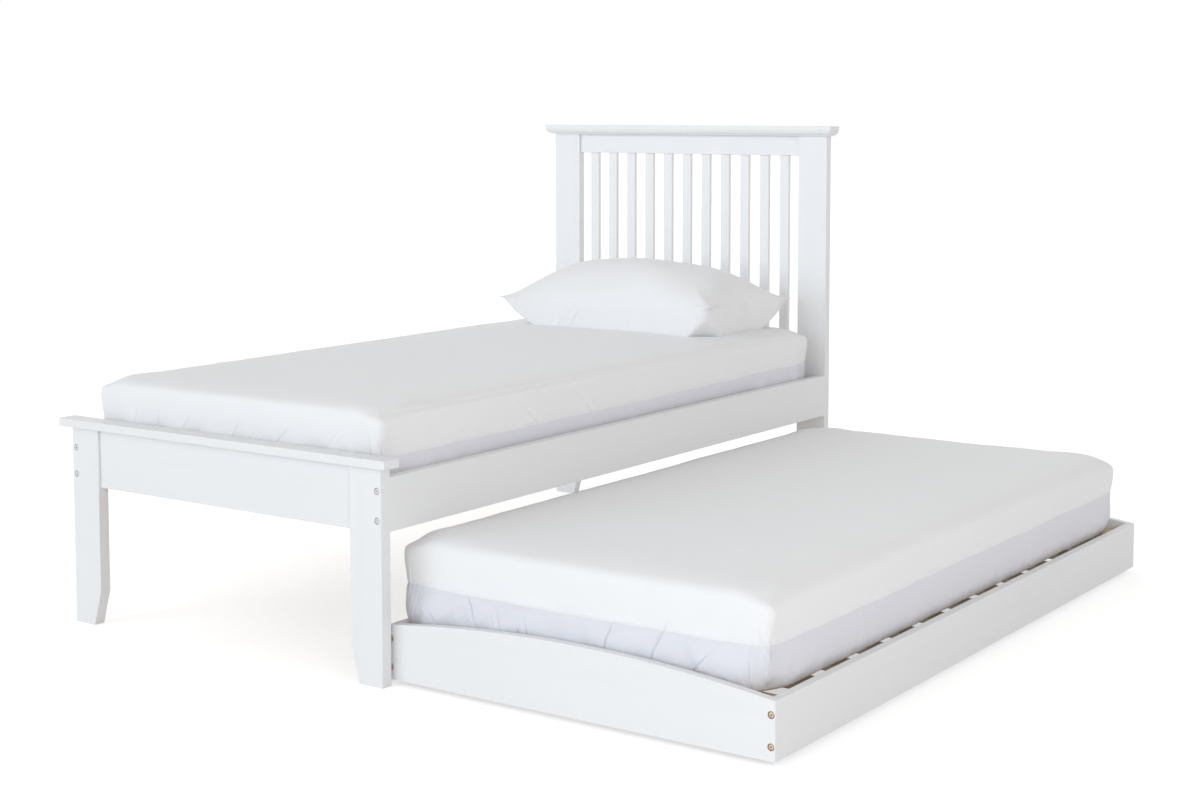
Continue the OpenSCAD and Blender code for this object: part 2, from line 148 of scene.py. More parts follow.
def white_paint(axis):
    """Satin lacquer on a board whose grain runs along one axis: the grain just shows."""
    finish, tree, shader, place = new_finish(f"white_paint_{axis}")
    cloud = noise_of(tree, place, 2.3, 2.0)
    fibres = noise_of(tree, stretched(tree, place, grain_scale(axis, 5, 260)), 1.0, 4.0, 0.4)
    rings = noise_of(tree, stretched(tree, place, grain_scale(axis, 1.4, 24)), 1.0, 2.0, 0.9)
    brush = noise_of(tree, place, 1400, 1.0)
    tone = blend_colours(tree, cloud, (0.795, 0.80, 0.81, 1), (0.825, 0.828, 0.835, 1))
    tone = blend_colours(
        tree, remap(tree, rings, 0.52, 0.75, 0, 0.35), tone, (0.785, 0.787, 0.79, 1)
    )
    smooth = bump_of(tree, brush, 0.06, 0.1 * MM)
    normal = bump_of(tree, fibres, 0.06, 0.25 * MM, smooth)
    connect(
        tree, shader, Base_Color=tone, Roughness=remap(tree, fibres, 0.3, 0.7, 0.40, 0.50),
        Normal=normal,
    )
    shader.inputs["Specular IOR Level"].default_value = 0.45
    return finish


def bare_pine(name, axis, seed):
    """Planed softwood: warm rings stretched along the grain, and a knot here and there."""
    finish, tree, shader, place = new_finish(name)
    moved = add_node(tree, "ShaderNodeMapping", {"Vector": place, "Location": (seed, seed, seed)})
    place = moved.outputs[0]
    long_way = stretched(tree, place, grain_scale(axis, 1.6, 30))
    rings = noise_of(tree, long_way, 1.0, 3.0, 1.6)
    lines = calculate(tree, "PINGPONG", calculate(tree, "MULTIPLY", rings, 9.0), 0.5)
    fibres = noise_of(tree, stretched(tree, place, grain_scale(axis, 14, 620)), 1.0, 3.0)
    boards = noise_of(tree, stretched(tree, place, (0.8, 7.0, 0.8)), 1.0, 0.0)
    knots = add_node(
        tree, "ShaderNodeTexVoronoi",
        {"Vector": stretched(tree, place, grain_scale(axis, 3.2, 8.5)), "Scale": 1.0},
    ).outputs["Distance"]
    pale = blend_colours(tree, boards, (0.74, 0.60, 0.40, 1), (0.66, 0.50, 0.31, 1))
    ringed = blend_colours(
        tree, remap(tree, lines, 0.12, 0.46, 0, 0.55), pale, (0.56, 0.38, 0.20, 1)
    )
    fibred = blend_colours(
        tree, remap(tree, fibres, 0.35, 0.7, 0, 0.22), ringed, (0.46, 0.31, 0.17, 1)
    )
    knotted = blend_colours(
        tree, remap(tree, knots, 0.07, 0.13, 0.85, 0), fibred, (0.24, 0.13, 0.06, 1)
    )
    connect(
        tree, shader, Base_Color=knotted, Roughness=remap(tree, fibres, 0.3, 0.7, 0.62, 0.74),
        Normal=bump_of(tree, fibres, 0.3, 0.3 * MM),
    )
    return finish


def plated_metal(name, light, dark, smoothness, metallic=1.0):
    """Plated steel: cloudy colour, fine turning marks and small scuffs."""
    finish, tree, shader, place = new_finish(name)
    cloud = noise_of(tree, place, 130, 3.0)
    scuffs = noise_of(tree, stretched(tree, place, (900, 120, 900)), 1.0, 2.0)
    connect(
        tree, shader, Base_Color=blend_colours(tree, cloud, light, dark),
        Roughness=remap(tree, scuffs, 0.3, 0.7, smoothness, smoothness + 0.18),
        Normal=bump_of(tree, scuffs, 0.15, 0.05 * MM),
    )
    shader.inputs["Metallic"].default_value = metallic
    return finish


def moulded_nylon():
    finish, tree, shader, place = new_finish("black_nylon")
    speckle = noise_of(tree, place, 1800, 2.0)
    dust = noise_of(tree, place, 90, 4.0)
    grey = blend_colours(
        tree, remap(tree, dust, 0.45, 0.75, 0, 0.5), (0.035, 0.035, 0.038, 1), (0.11, 0.105, 0.10, 1)
    )
    connect(
        tree, shader, Base_Color=grey, Roughness=remap(tree, dust, 0.3, 0.7, 0.42, 0.6),
        Normal=bump_of(tree, speckle, 0.2, 0.06 * MM),
    )
    return finish


def weave_height(tree, across, along, pitch):
    """Height of a plain weave whose threads cross at the given pitch."""
    turn = 2 * math.pi / pitch
    warp = calculate(tree, "SINE", calculate(tree, "MULTIPLY", across, turn))
    weft = calculate(tree, "SINE", calculate(tree, "MULTIPLY", along, turn))
    return calculate(tree, "MULTIPLY", warp, weft)


def cloth_finish(name, pitch, white, sheen, banded):
    """White cotton with its weave on the piece's own UV map, in metres. On a mattress cover the
    band under the seam is a cooler knit: the attribute "above_seam" is the height over it."""
    finish, tree, shader, place = new_finish(name)
    flat = add_node(tree, "ShaderNodeUVMap", uv_map="cloth").outputs[0]
    ways = add_node(tree, "ShaderNodeSeparateXYZ", {"Vector": flat})
    weave = weave_height(tree, ways.outputs[0], ways.outputs[1], pitch)
    slub = noise_of(tree, stretched(tree, flat, (1 / pitch, 0.12 / pitch, 1)), 0.5, 2.0)
    cloud = noise_of(tree, place, 4.0, 3.0)
    tone = blend_colours(tree, cloud, white, [c * 0.975 for c in white[:3]] + [1])
    tone = blend_colours(
        tree, remap(tree, slub, 0.5, 0.8, 0, 0.35), tone, [c * 0.93 for c in white[:3]] + [1]
    )
    if banded:
        height = add_node(tree, "ShaderNodeAttribute", attribute_name="above_seam").outputs["Fac"]
        below = remap(tree, height, -0.8 * MM, 0.8 * MM, 1, 0)
        shade = blend_colours(tree, cloud, (0.755, 0.76, 0.81, 1), (0.735, 0.74, 0.795, 1))
        tone = blend_colours(tree, below, tone, shade)
    cloth = bump_of(tree, weave, 0.5, 0.06 * MM)
    normal = bump_of(tree, slub, 0.25, 0.12 * MM, cloth)
    connect(tree, shader, Base_Color=tone, Normal=normal)
    shader.inputs["Roughness"].default_value = 0.88
    shader.inputs["Specular IOR Level"].default_value = 0.2
    shader.inputs["Sheen Weight"].default_value = sheen
    shader.inputs["Sheen Roughness"].default_value = 0.6
    return finish


FINISH = {f"paint_{axis}": white_paint(axis) for axis in AXES}
FINISH.update(
    pine_x=bare_pine("pine_x", "x", 3.1), pine_y=bare_pine("pine_y", "y", 5.7),
    yellow_zinc=plated_metal("yellow_zinc", (0.80, 0.64, 0.44, 1), (0.68, 0.50, 0.32, 1), 0.4, 0.35),
    zinc=plated_metal("zinc", (0.66, 0.67, 0.69, 1), (0.52, 0.53, 0.56, 1), 0.3),
    pale_steel=plated_metal(
        "pale_bolt_paint", (0.80, 0.80, 0.80, 1), (0.74, 0.74, 0.745, 1), 0.4, 0.0
    ),
    nylon=moulded_nylon(),
    cover=cloth_finish("mattress_cover", 1.3 * MM, (0.875, 0.877, 0.885, 1), 0.12, True),
    cotton=cloth_finish("pillow_cotton", 0.8 * MM, (0.86, 0.86, 0.87, 1), 0.18, False),
    thread=cloth_finish("white_thread", 0.4 * MM, (0.85, 0.855, 0.87, 1), 0.1, False),
)


# ---------------------------------------------------------------- meshes


def new_piece(name, mesh, *finishes):
    """A named object for a mesh, with its finishes, in the scene."""
    made = bpy.data.objects.new(name, mesh)
    bpy.context.scene.collection.objects.link(made)
    for finish in finishes:
        mesh.materials.append(FINISH[finish])
    return made


def plain_mesh(name, bm):
    """A mesh with only the geometry of a bmesh, and its material numbers."""
    bm.verts.index_update()
    mesh = bpy.data.meshes.new(name)
    faces = [[v.index for v in f.verts] for f in bm.faces]
    mesh.from_pydata([v.co.copy() for v in bm.verts], [], faces)
    mesh.polygons.foreach_set("material_index", [f.material_index for f in bm.faces])
    return mesh


def piece_from(name, bm, *finishes):
    """A new piece with the shape of a bmesh, which is freed."""
    made = new_piece(name, plain_mesh(name, bm), *finishes)
    bm.free()
    return made


def baked(obj):
    """Replaces an object's mesh by what its modifiers make of it, and drops them."""
    bpy.context.view_layer.update()
    graph = bpy.context.evaluated_depsgraph_get()
    mesh = bpy.data.meshes.new_from_object(obj.evaluated_get(graph), depsgraph=graph)
    finishes = list(obj.data.materials)
    obj.modifiers.clear()
    old, obj.data = obj.data, mesh
    bpy.data.meshes.remove(old)
    if not mesh.materials:
        for finish in finishes:
            mesh.materials.append(finish)
    return obj


def cad_bmesh(node):
    """A CAD node's mesh, merged into solids with plain flat faces."""
    bm = bmesh.new()
    bm.from_mesh(NODES[node].data)
    bmesh.ops.remove_doubles(bm, verts=bm.verts, dist=0.01 * MM)
    bmesh.ops.dissolve_limit(bm, angle_limit=0.004, verts=bm.verts, edges=bm.edges)
    return bm


def solids_of(bm):
    """The vertices of each separate solid in a bmesh."""
    left, found = set(bm.verts), []
    while left:
        stack, solid = [left.pop()], set()
        while stack:
            vert = stack.pop()
            solid.add(vert)
            for edge in vert.link_edges:
                other = edge.other_vert(vert)
                if other in left:
                    left.remove(other)
                    stack.append(other)
        found.append(solid)
    return found


def box_of(verts):
    """Low and high corner round some vertices."""
    low = Vector(min(v.co[k] for v in verts) for k in range(3))
    high = Vector(max(v.co[k] for v in verts) for k in range(3))
    return low, high


def ease(bm, radius, segments=2):
    """Rounds every sharp edge of a board."""
    sharp = [e for e in bm.edges if e.is_manifold and e.calc_face_angle() > SHARP]
    bmesh.ops.bevel(
        bm, geom=sharp, offset=radius, segments=segments, profile=0.5, affect="EDGES",
        clamp_overlap=True,
    )


def shade_eased(obj):
    """Smooth rounded edges beside truly flat faces."""
    obj.data.shade_smooth()
    obj.data.set_sharp_from_angle(angle=math.radians(50))
    obj.modifiers.new("flat_faces", "WEIGHTED_NORMAL").keep_sharp = True
    return baked(obj)


# ---------------------------------------------------------------- Geometry Nodes that repeat


def geometry_tree(name, **inputs):
    """A Geometry Nodes tree with named inputs, its group input and a way to end it."""
    tree = bpy.data.node_groups.new(name, "GeometryNodeTree")
    for label, kind in inputs.items():
        tree.interface.new_socket(label, in_out="INPUT", socket_type=f"NodeSocket{kind}")
    tree.interface.new_socket("Mesh", in_out="OUTPUT", socket_type="NodeSocketGeometry")
    given = tree.nodes.new("NodeGroupInput").outputs
    return tree, given


def end_tree(tree, instances, finish):
    """Realizes the instances and gives them their finish."""
    real = add_node(tree, "GeometryNodeRealizeInstances", {"Geometry": instances}).outputs[0]
    painted = add_node(tree, "GeometryNodeSetMaterial", {"Geometry": real, "Material": finish})
    add_node(tree, "NodeGroupOutput", {"Mesh": painted.outputs[0]})
    return tree


def piece_geometry(tree, piece):
    inputs = {"Object": piece, "As Instance": False}
    return add_node(tree, "GeometryNodeObjectInfo", inputs).outputs["Geometry"]


def copies_on(tree, points, piece, finish, turn=None):
    """Ends a tree with a copy of a piece on every point."""
    inputs = {"Points": points, "Instance": piece_geometry(tree, piece)}
    if turn:
        inputs["Rotation"] = turn
    copies = add_node(tree, "GeometryNodeInstanceOnPoints", inputs)
    return end_tree(tree, copies.outputs[0], finish)


def row_tree():
    """Copies of one piece at an even pitch, each a little out of line."""
    tree, given = geometry_tree(
        "even_row", Piece="Object", Count="Int", First="Vector", Pitch="Vector", Slip="Vector",
        Seed="Int", Finish="Material",
    )
    line = add_node(
        tree, "GeometryNodeMeshLine",
        {"Count": given["Count"], "Start Location": given["First"], "Offset": given["Pitch"]},
        mode="OFFSET",
    )
    least = add_node(
        tree, "ShaderNodeVectorMath", {0: given["Slip"], "Scale": -1.0}, operation="SCALE"
    )
    slip = add_node(
        tree, "FunctionNodeRandomValue",
        {"Min": least.outputs[0], "Max": given["Slip"], "Seed": given["Seed"]},
        data_type="FLOAT_VECTOR",
    )
    slipped = add_node(
        tree, "GeometryNodeSetPosition", {"Geometry": line.outputs[0], "Offset": slip.outputs[0]}
    )
    return copies_on(tree, slipped.outputs[0], given["Piece"], given["Finish"])


def fixings_tree():
    """One fixing on every point of a mesh, turned by its "facing" and then at random on its axis."""
    tree, given = geometry_tree(
        "fixings", Piece="Object", Places="Object", Seed="Int", Finish="Material"
    )
    facing = add_node(
        tree, "GeometryNodeInputNamedAttribute", {"Name": "facing"}, data_type="FLOAT_VECTOR"
    )
    pointed = add_node(tree, "FunctionNodeEulerToRotation", {"Euler": facing.outputs[0]})
    turn = add_node(
        tree, "FunctionNodeRandomValue",
        {2: 0.0, 3: 2 * math.pi, "Seed": given["Seed"]},
        data_type="FLOAT",
    )
    spin = add_node(
        tree, "FunctionNodeAxisAngleToRotation", {"Axis": (0, 0, 1), "Angle": turn.outputs[1]}
    )
    turned = add_node(
        tree, "FunctionNodeRotateRotation",
        {"Rotation": pointed.outputs[0], "Rotate By": spin.outputs[0]},
        rotation_space="LOCAL",
    )
    points = piece_geometry(tree, given["Places"])
    return copies_on(tree, points, given["Piece"], given["Finish"], turned.outputs[0])


def stitches_tree():
    """Stitches end to end along a seam's line."""
    tree, given = geometry_tree(
        "stitches", Seam="Object", Stitch="Object", Pitch="Float", Finish="Material"
    )
    curve = add_node(
        tree, "GeometryNodeMeshToCurve", {"Mesh": piece_geometry(tree, given["Seam"])}
    )
    points = add_node(
        tree, "GeometryNodeCurveToPoints",
        {"Curve": curve.outputs[0], "Length": given["Pitch"]},
        mode="LENGTH",
    )
    places, turn = points.outputs["Points"], points.outputs["Rotation"]
    return copies_on(tree, places, given["Stitch"], given["Finish"], turn)


ROW, FIXINGS, STITCHES = row_tree(), fixings_tree(), stitches_tree()


def repeated(name, tree, finish, **values):
    """A new piece: the plain mesh that a tree makes from its named inputs."""
    made = new_piece(name, bpy.data.meshes.new(name))
    modifier = made.modifiers.new("layout", "NODES")
    modifier.node_group = tree
    values["Finish"] = FINISH[finish]
    for socket in tree.interface.items_tree:
        if socket.in_out == "INPUT":
            modifier[socket.identifier] = values[socket.name]
    baked(made)
    made.data.name = name
    return made


def drop(*objects):
    """Removes patterns and guides that aren't pieces."""
    for obj in objects:
        mesh = obj.data
        bpy.data.objects.remove(obj)
        bpy.data.meshes.remove(mesh)


def settle(piece, body, slot, *nodes):
    """Puts a finished piece on the body it rides on and hides the CAD nodes it stands for. The slot is
    not used.
    """
    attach(piece, body)
    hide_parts(*nodes)
    return piece


# ---------------------------------------------------------------- painted boards

EASE = 1.6 * MM
RECESS_R = 8 * MM


def painted_board(node, body, axis, radius=EASE, bare_recess=False):
    """An eased copy of a board. Where the paint stops at the bolt recesses, their wood is bare."""
    bm = cad_bmesh(node)
    ease(bm, radius)
    if bare_recess:
        low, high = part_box(node)
        for face in bm.faces:
            spans = [v.co for v in face.verts]
            middle = face.calc_center_median()
            deep = low.y + 1.2 * MM < middle.y < high.y - 1.2 * MM
            small = max((a - b).length for a in spans for b in spans) < 2.5 * RECESS_R
            if deep and small and low.x + EASE < middle.x < high.x - EASE:
                face.material_index = 1
    board = piece_from(f"painted_{node}", bm, f"paint_{axis}", "pine_x")
    return settle(shade_eased(board), body, "white_paint", node)


def spindle_row():
    """The headboard's spindles, at the pitch of the first two."""
    names = [n for n in NODES if n.startswith("headboard_spindle_")]
    names.sort(key=lambda n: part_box(n)[0].x)
    first = sum(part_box(names[0]), Vector()) / 2
    second = sum(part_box(names[1]), Vector()) / 2
    bm = cad_bmesh(names[0])
    ease(bm, EASE)
    bmesh.ops.translate(bm, verts=bm.verts, vec=-first)
    pattern = shade_eased(piece_from("one_spindle", bm, "paint_z"))
    row = repeated(
        "painted_spindles", ROW, "paint_z", Piece=pattern, Count=len(names), First=first,
        Pitch=second - first, Slip=Vector(), Seed=1,
    )
    drop(pattern)
    return settle(row, "bed", "white_paint", *names)


# ---------------------------------------------------------------- bare wood under the mattresses


def slat_row(name, body, boxes, seed, *nodes):
    """A row of planed slats with eased edges, each with a slight bow, from their boxes."""
    boxes.sort(key=lambda box: box[0].y)
    size = boxes[0][1] - boxes[0][0]
    centres = [(low + high) / 2 for low, high in boxes]
    bm = bmesh.new()
    bmesh.ops.create_cube(bm, size=1.0)
    long_edges = [e for e in bm.edges if abs(e.verts[0].co.x - e.verts[1].co.x) > 0.5]
    bmesh.ops.subdivide_edges(bm, edges=long_edges, cuts=15, use_grid_fill=True)
    bmesh.ops.scale(bm, vec=size, verts=bm.verts)
    ease(bm, 1.5 * MM)
    for vert in bm.verts:
        vert.co.z -= 0.8 * MM * math.cos(math.pi * vert.co.x / size.x) ** 2
    pattern = shade_eased(piece_from("one_slat", bm, "pine_x"))
    row = repeated(
        name, ROW, "pine_x", Piece=pattern, Count=len(boxes), First=centres[0],
        Pitch=(centres[-1] - centres[0]) / (len(boxes) - 1), Slip=Vector((1.0 * MM, 0.8 * MM, 0)),
        Seed=seed,
    )
    drop(pattern)
    return settle(row, body, "pine", *nodes)


def eased_part(prefix, node, body, slot, finish, radius):
    """A bare copy of a CAD part with its sharp edges broken."""
    bm = cad_bmesh(node)
    ease(bm, radius)
    part = piece_from(f"{prefix}_{node}", bm, finish)
    return settle(shade_eased(part), body, slot, node)


# ---------------------------------------------------------------- fixings


def places_on(node, end, facing):
    """A guide mesh with a point at one end of every solid in a CAD node, and its facing there.
    end and facing are functions of a solid's low and high corner."""
    bm = cad_bmesh(node)
    boxes = sorted((box_of(s) for s in solids_of(bm)), key=lambda box: tuple(box[0]))
    bm.free()
    mesh = bpy.data.meshes.new("places")
    mesh.from_pydata([end(*box) for box in boxes], [], [])
    turned = mesh.attributes.new("facing", "FLOAT_VECTOR", "POINT")
    for value, box in zip(turned.data, boxes):
        value.vector = facing(*box)
    return new_piece("places", mesh)


def turned_profile(profile, segments, socket=0, socket_r=0.0, socket_depth=0.0):
    """A fixing turned about Z from (radius, height) pairs, with a polygonal socket or a flat top."""
    bm = bmesh.new()
    rings = []
    for radius, height in profile:
        turn = [2 * math.pi * i / segments for i in range(segments)]
        rings.append([bm.verts.new((radius * math.cos(a), radius * math.sin(a), height)) for a in turn])
    for low, high in zip(rings, rings[1:]):
        for i in range(segments):
            j = (i + 1) % segments
            bm.faces.new((low[i], low[j], high[j], high[i]))
    bm.faces.new(reversed(rings[0]))
    top_z = profile[-1][1]
    if socket:
        step = segments // socket
        mouth = []
        for i in range(segments):
            off = (i % step - step / 2) * 2 * math.pi / segments
            flat = socket_r * math.cos(math.pi / socket) / math.cos(off)
            turn = 2 * math.pi * i / segments
            mouth.append(bm.verts.new((flat * math.cos(turn), flat * math.sin(turn), top_z)))
        floor = [bm.verts.new(v.co - Vector((0, 0, socket_depth))) for v in mouth]
        for outer, inner in ((rings[-1], mouth), (mouth, floor)):
            for i in range(segments):
                j = (i + 1) % segments
                bm.faces.new((outer[i], outer[j], inner[j], inner[i]))
        bm.faces.new(floor)
    else:
        bm.faces.new(rings[-1])
    bmesh.ops.recalc_face_normals(bm, faces=bm.faces)
    return bm


def connector_bolt(length):
    """A bolt along -Z under a rounded head with a hexagon socket."""
    profile = [(3, -length), (3, -5), (5.2, -5), (5.5, -4.7), (5.5, -0.7), (5.3, -0.2), (4.8, 0)]
    bm = turned_profile(profile, 24, 6, 2.9, 3.0)
    bmesh.ops.scale(bm, vec=(MM, MM, MM), verts=bm.verts)
    return bm


def wood_screw(head_r, head_h, length):
    """A screw along -Z with a domed head and a square drive."""
    profile = [
        (0.4, -length),
        (2, -length + 4),
        (2, -head_h),
        (head_r, -0.4),
        (head_r, -0.1),
        (head_r * 0.8, 0.1),
    ]
    bm = turned_profile(profile, 16, 4, head_r * 0.45, 1.2)
    bmesh.ops.scale(bm, vec=(MM, MM, MM), verts=bm.verts)
    return bm


def bolt_end(low, high):
    """Middle of the head's face, which looks away from the middle of the bed."""
    middle = (low + high) / 2
    middle.y = low.y if middle.y < 0 else high.y
    return middle


def bolt_facing(low, high):
    return (math.pi / 2, 0, 0) if low.y + high.y < 0 else (-math.pi / 2, 0, 0)


def top_end(low, high):
    return Vector(((low.x + high.x) / 2, (low.y + high.y) / 2, high.z))


def bottom_end(low, high):
    return Vector(((low.x + high.x) / 2, (low.y + high.y) / 2, low.z))


def up(low, high):
    return (0, 0, 0)


def down(low, high):
    return (math.pi, 0, 0)


def bolt_length(node):
    bm = cad_bmesh(node)
    low, high = box_of(solids_of(bm)[0])
    bm.free()
    return (high.y - low.y) / MM


def all_fixings():
    """Every kind of fixing, in every place that its CAD node has it. Each kind has its seed."""
    bolts = [connector_bolt(bolt_length(node)) for node in ("bed_bolts", "trundle_bolts")]
    slat_screws = [wood_screw(3.9, 2.0, 30) for _ in range(2)]
    castor_screw = wood_screw(3.5, 2.0, 14)
    on_bolts, on_top, on_underside = (bolt_end, bolt_facing), (top_end, up), (bottom_end, down)
    for seed, name, body, slot, finish, node, shape, where in (
        (4, "bed_bolt_heads", "bed", "painted_bolt_heads", "pale_steel", "bed_bolts", bolts[0],
         on_bolts),
        (5, "trundle_bolt_heads", "trundle", "yellow_zinc", "yellow_zinc", "trundle_bolts",
         bolts[1], on_bolts),
        (6, "bed_slat_screws_turned", "bed", "zinc", "zinc", "bed_slat_screws", slat_screws[0],
         on_top),
        (7, "trundle_slat_screws_turned", "trundle", "zinc", "zinc", "trundle_slat_screws",
         slat_screws[1], on_top),
        (8, "castor_screws_turned", "trundle", "zinc", "zinc", "castor_screws", castor_screw,
         on_underside),
    ):
        pattern = piece_from("one_fixing", shape, finish)
        pattern.data.shade_smooth()
        pattern.data.set_sharp_from_angle(angle=SHARP)
        places = places_on(node, *where)
        made = repeated(name, FIXINGS, finish, Piece=pattern, Places=places, Seed=seed)
        drop(places, pattern)
        settle(made, body, slot, node)


# ---------------------------------------------------------------- cloth


def grid_box(size, cell):
    """A closed box round the origin, all of even and nearly square faces."""
    bm = bmesh.new()
    bmesh.ops.create_cube(bm, size=1.0)
    for axis in range(3):
        cuts = max(1, round(size[axis] / cell)) - 1
        along = [e for e in bm.edges if abs((e.verts[0].co - e.verts[1].co)[axis]) > 0.5]
        bmesh.ops.subdivide_edges(bm, edges=along, cuts=cuts, use_grid_fill=True)
    bmesh.ops.scale(bm, vec=size, verts=bm.verts)
    return bm


def smooth(low, high, value):
    """0 below low, 1 above high, and a smooth step between them."""
    t = np.clip((value - low) / (high - low), 0.0, 1.0)
    return t * t * (3 - 2 * t)


def places_of(mesh):
    """A mesh's vertices as rows of an array."""
    flat = np.empty(3 * len(mesh.vertices))
    mesh.vertices.foreach_get("co", flat)
    return flat.reshape(-1, 3)


def move_to(mesh, places):
    mesh.vertices.foreach_set("co", places.ravel())
    mesh.update()


def normals_of(mesh):
    flat = np.empty(3 * len(mesh.vertices))
    mesh.vertex_normals.foreach_get("vector", flat)
    return flat.reshape(-1, 3)


def noise_at(places, scale, shift=0.0):
    """Smooth noise from -1 to 1 at every place. Scale may differ along the three axes."""
    points = places * np.array(scale) + shift
    return np.array([noise.noise(p) for p in points.tolist()])


def set_values(mesh, name, values):
    made = mesh.attributes.get(name) or mesh.attributes.new(name, "FLOAT", "POINT")
    made.data.foreach_set("value", values)


def values_of(mesh, name):
    values = np.empty(len(mesh.vertices))
    mesh.attributes[name].data.foreach_get("value", values)
    return values


def cloth_map(mesh, flat, pick):
    """The weave's own UV map in metres, from where each point lay on the flat cloth.
    pick gives the two axes of the map for a face."""
    layer = mesh.uv_layers.new(name="cloth")
    for face in mesh.polygons:
        u, v = pick(face)
        for loop in face.loop_indices:
            point = flat[mesh.loops[loop].vertex_index]
            layer.data[loop].uv = (point[u], point[v])


def inflate(obj, frames, pressure, slack, stiffness, cap, held=None):
    """Blows a closed mesh up as cloth, no vertex moving further than cap. Slack is the share by
    which the cloth is longer than the mesh, and held names the group of vertices that stay put."""
    mesh = obj.data
    rest = places_of(mesh)
    cloth = obj.modifiers.new("cloth", "CLOTH")
    settings = cloth.settings
    settings.quality = 5
    settings.mass = 0.25
    settings.tension_stiffness = 18
    settings.compression_stiffness = 12
    settings.shear_stiffness = 6
    settings.bending_stiffness = stiffness
    settings.air_damping = 1.5
    settings.use_pressure = True
    settings.uniform_pressure_force = pressure
    settings.effector_weights.gravity = 0
    settings.shrink_min = -slack
    if held:
        settings.vertex_group_mass = held
    cloth.collision_settings.use_collision = False
    cloth.collision_settings.use_self_collision = False
    cloth.point_cache.frame_start = 1
    cloth.point_cache.frame_end = frames
    for number in range(1, frames + 1):
        bpy.context.scene.frame_set(number)
    baked(obj)
    bpy.context.scene.frame_set(1)
    moved = places_of(obj.data) - rest
    length = np.linalg.norm(moved, axis=1, keepdims=True)
    move_to(obj.data, rest + moved * np.minimum(1.0, cap / np.maximum(length, 1e-9)))


def fit_to(mesh, low, high):
    """Scales a mesh so that its box is exactly the given one."""
    places = places_of(mesh)
    at_low, at_high = places.min(axis=0), places.max(axis=0)
    share = (places - at_low) / (at_high - at_low)
    move_to(mesh, np.array(low) + share * (np.array(high) - np.array(low)))


def subdivided(obj):
    step = obj.modifiers.new("finer", "SUBSURF")
    step.levels = step.render_levels = 1
    return baked(obj)


class Fold:
    """A crease in a cover. It starts at a place along the side and a height, runs up to another
    height, and leans and bends on the way. A negative width puts its lip on the other side."""

    def __init__(self, at, low, high, depth, width, lean=0.0, bend=0.0):
        self.at, self.low, self.high = at, low, high
        self.depth, self.width, self.lean, self.bend = depth, width, lean, bend

    def off(self, at, height):
        """Distance along the side from the crease's line."""
        up = height - self.low
        return at - self.at - self.lean * up - self.bend * up * up

    def covers(self, at, height, reach):
        inside = (height > self.low - reach) & (height < self.high + reach)
        return inside & (np.abs(self.off(at, height)) < reach)

    def push(self, at, height):
        """How far the crease moves the cloth out: a narrow groove, the crisp lip beside it and
        the soft roll behind that. A negative depth makes it a ridge, steep on one side only."""
        off = self.off(at, height) / self.width
        run = self.high - self.low
        ends = smooth(self.low - 6 * MM, self.low + 8 * MM, height)
        ends = ends * (1 - smooth(self.low + 0.6 * run, self.high, height))
        groove = np.exp(-((off / 0.6) ** 2))
        lip = 0.55 * np.exp(-(((off + 1.2) / 0.9) ** 2))
        roll = 0.55 * np.exp(-(((off + 4.5) / 3.5) ** 2))
        if self.depth < 0:
            crest = np.exp(-((off / np.where(off < 0, 0.8, 4.0)) ** 2))
            dip = 0.35 * np.exp(-(((off + 2.6) / 1.6) ** 2))
            return -self.depth * ends * (crest - dip)
        return self.depth * ends * (lip + roll - groove)


def split_near(mesh, near, reaches):
    """Splits the faces near some creases, once for each reach, so that a narrow crease has the
    points it needs. near tests the faces' middles and heights against a reach."""
    for reach in reaches:
        bm = bmesh.new()
        bm.from_mesh(mesh)
        layer = bm.verts.layers.float["height"]
        middles = np.array([f.calc_center_median() for f in bm.faces])
        heights = np.array([sum(v[layer] for v in f.verts) / len(f.verts) for f in bm.faces])
        chosen = {e for f, n in zip(bm.faces, near(middles, heights, reach)) if n for e in f.edges}
        bmesh.ops.subdivide_edges(bm, edges=list(chosen), cuts=1, use_grid_fill=True)
        bm.to_mesh(mesh)
        bm.free()


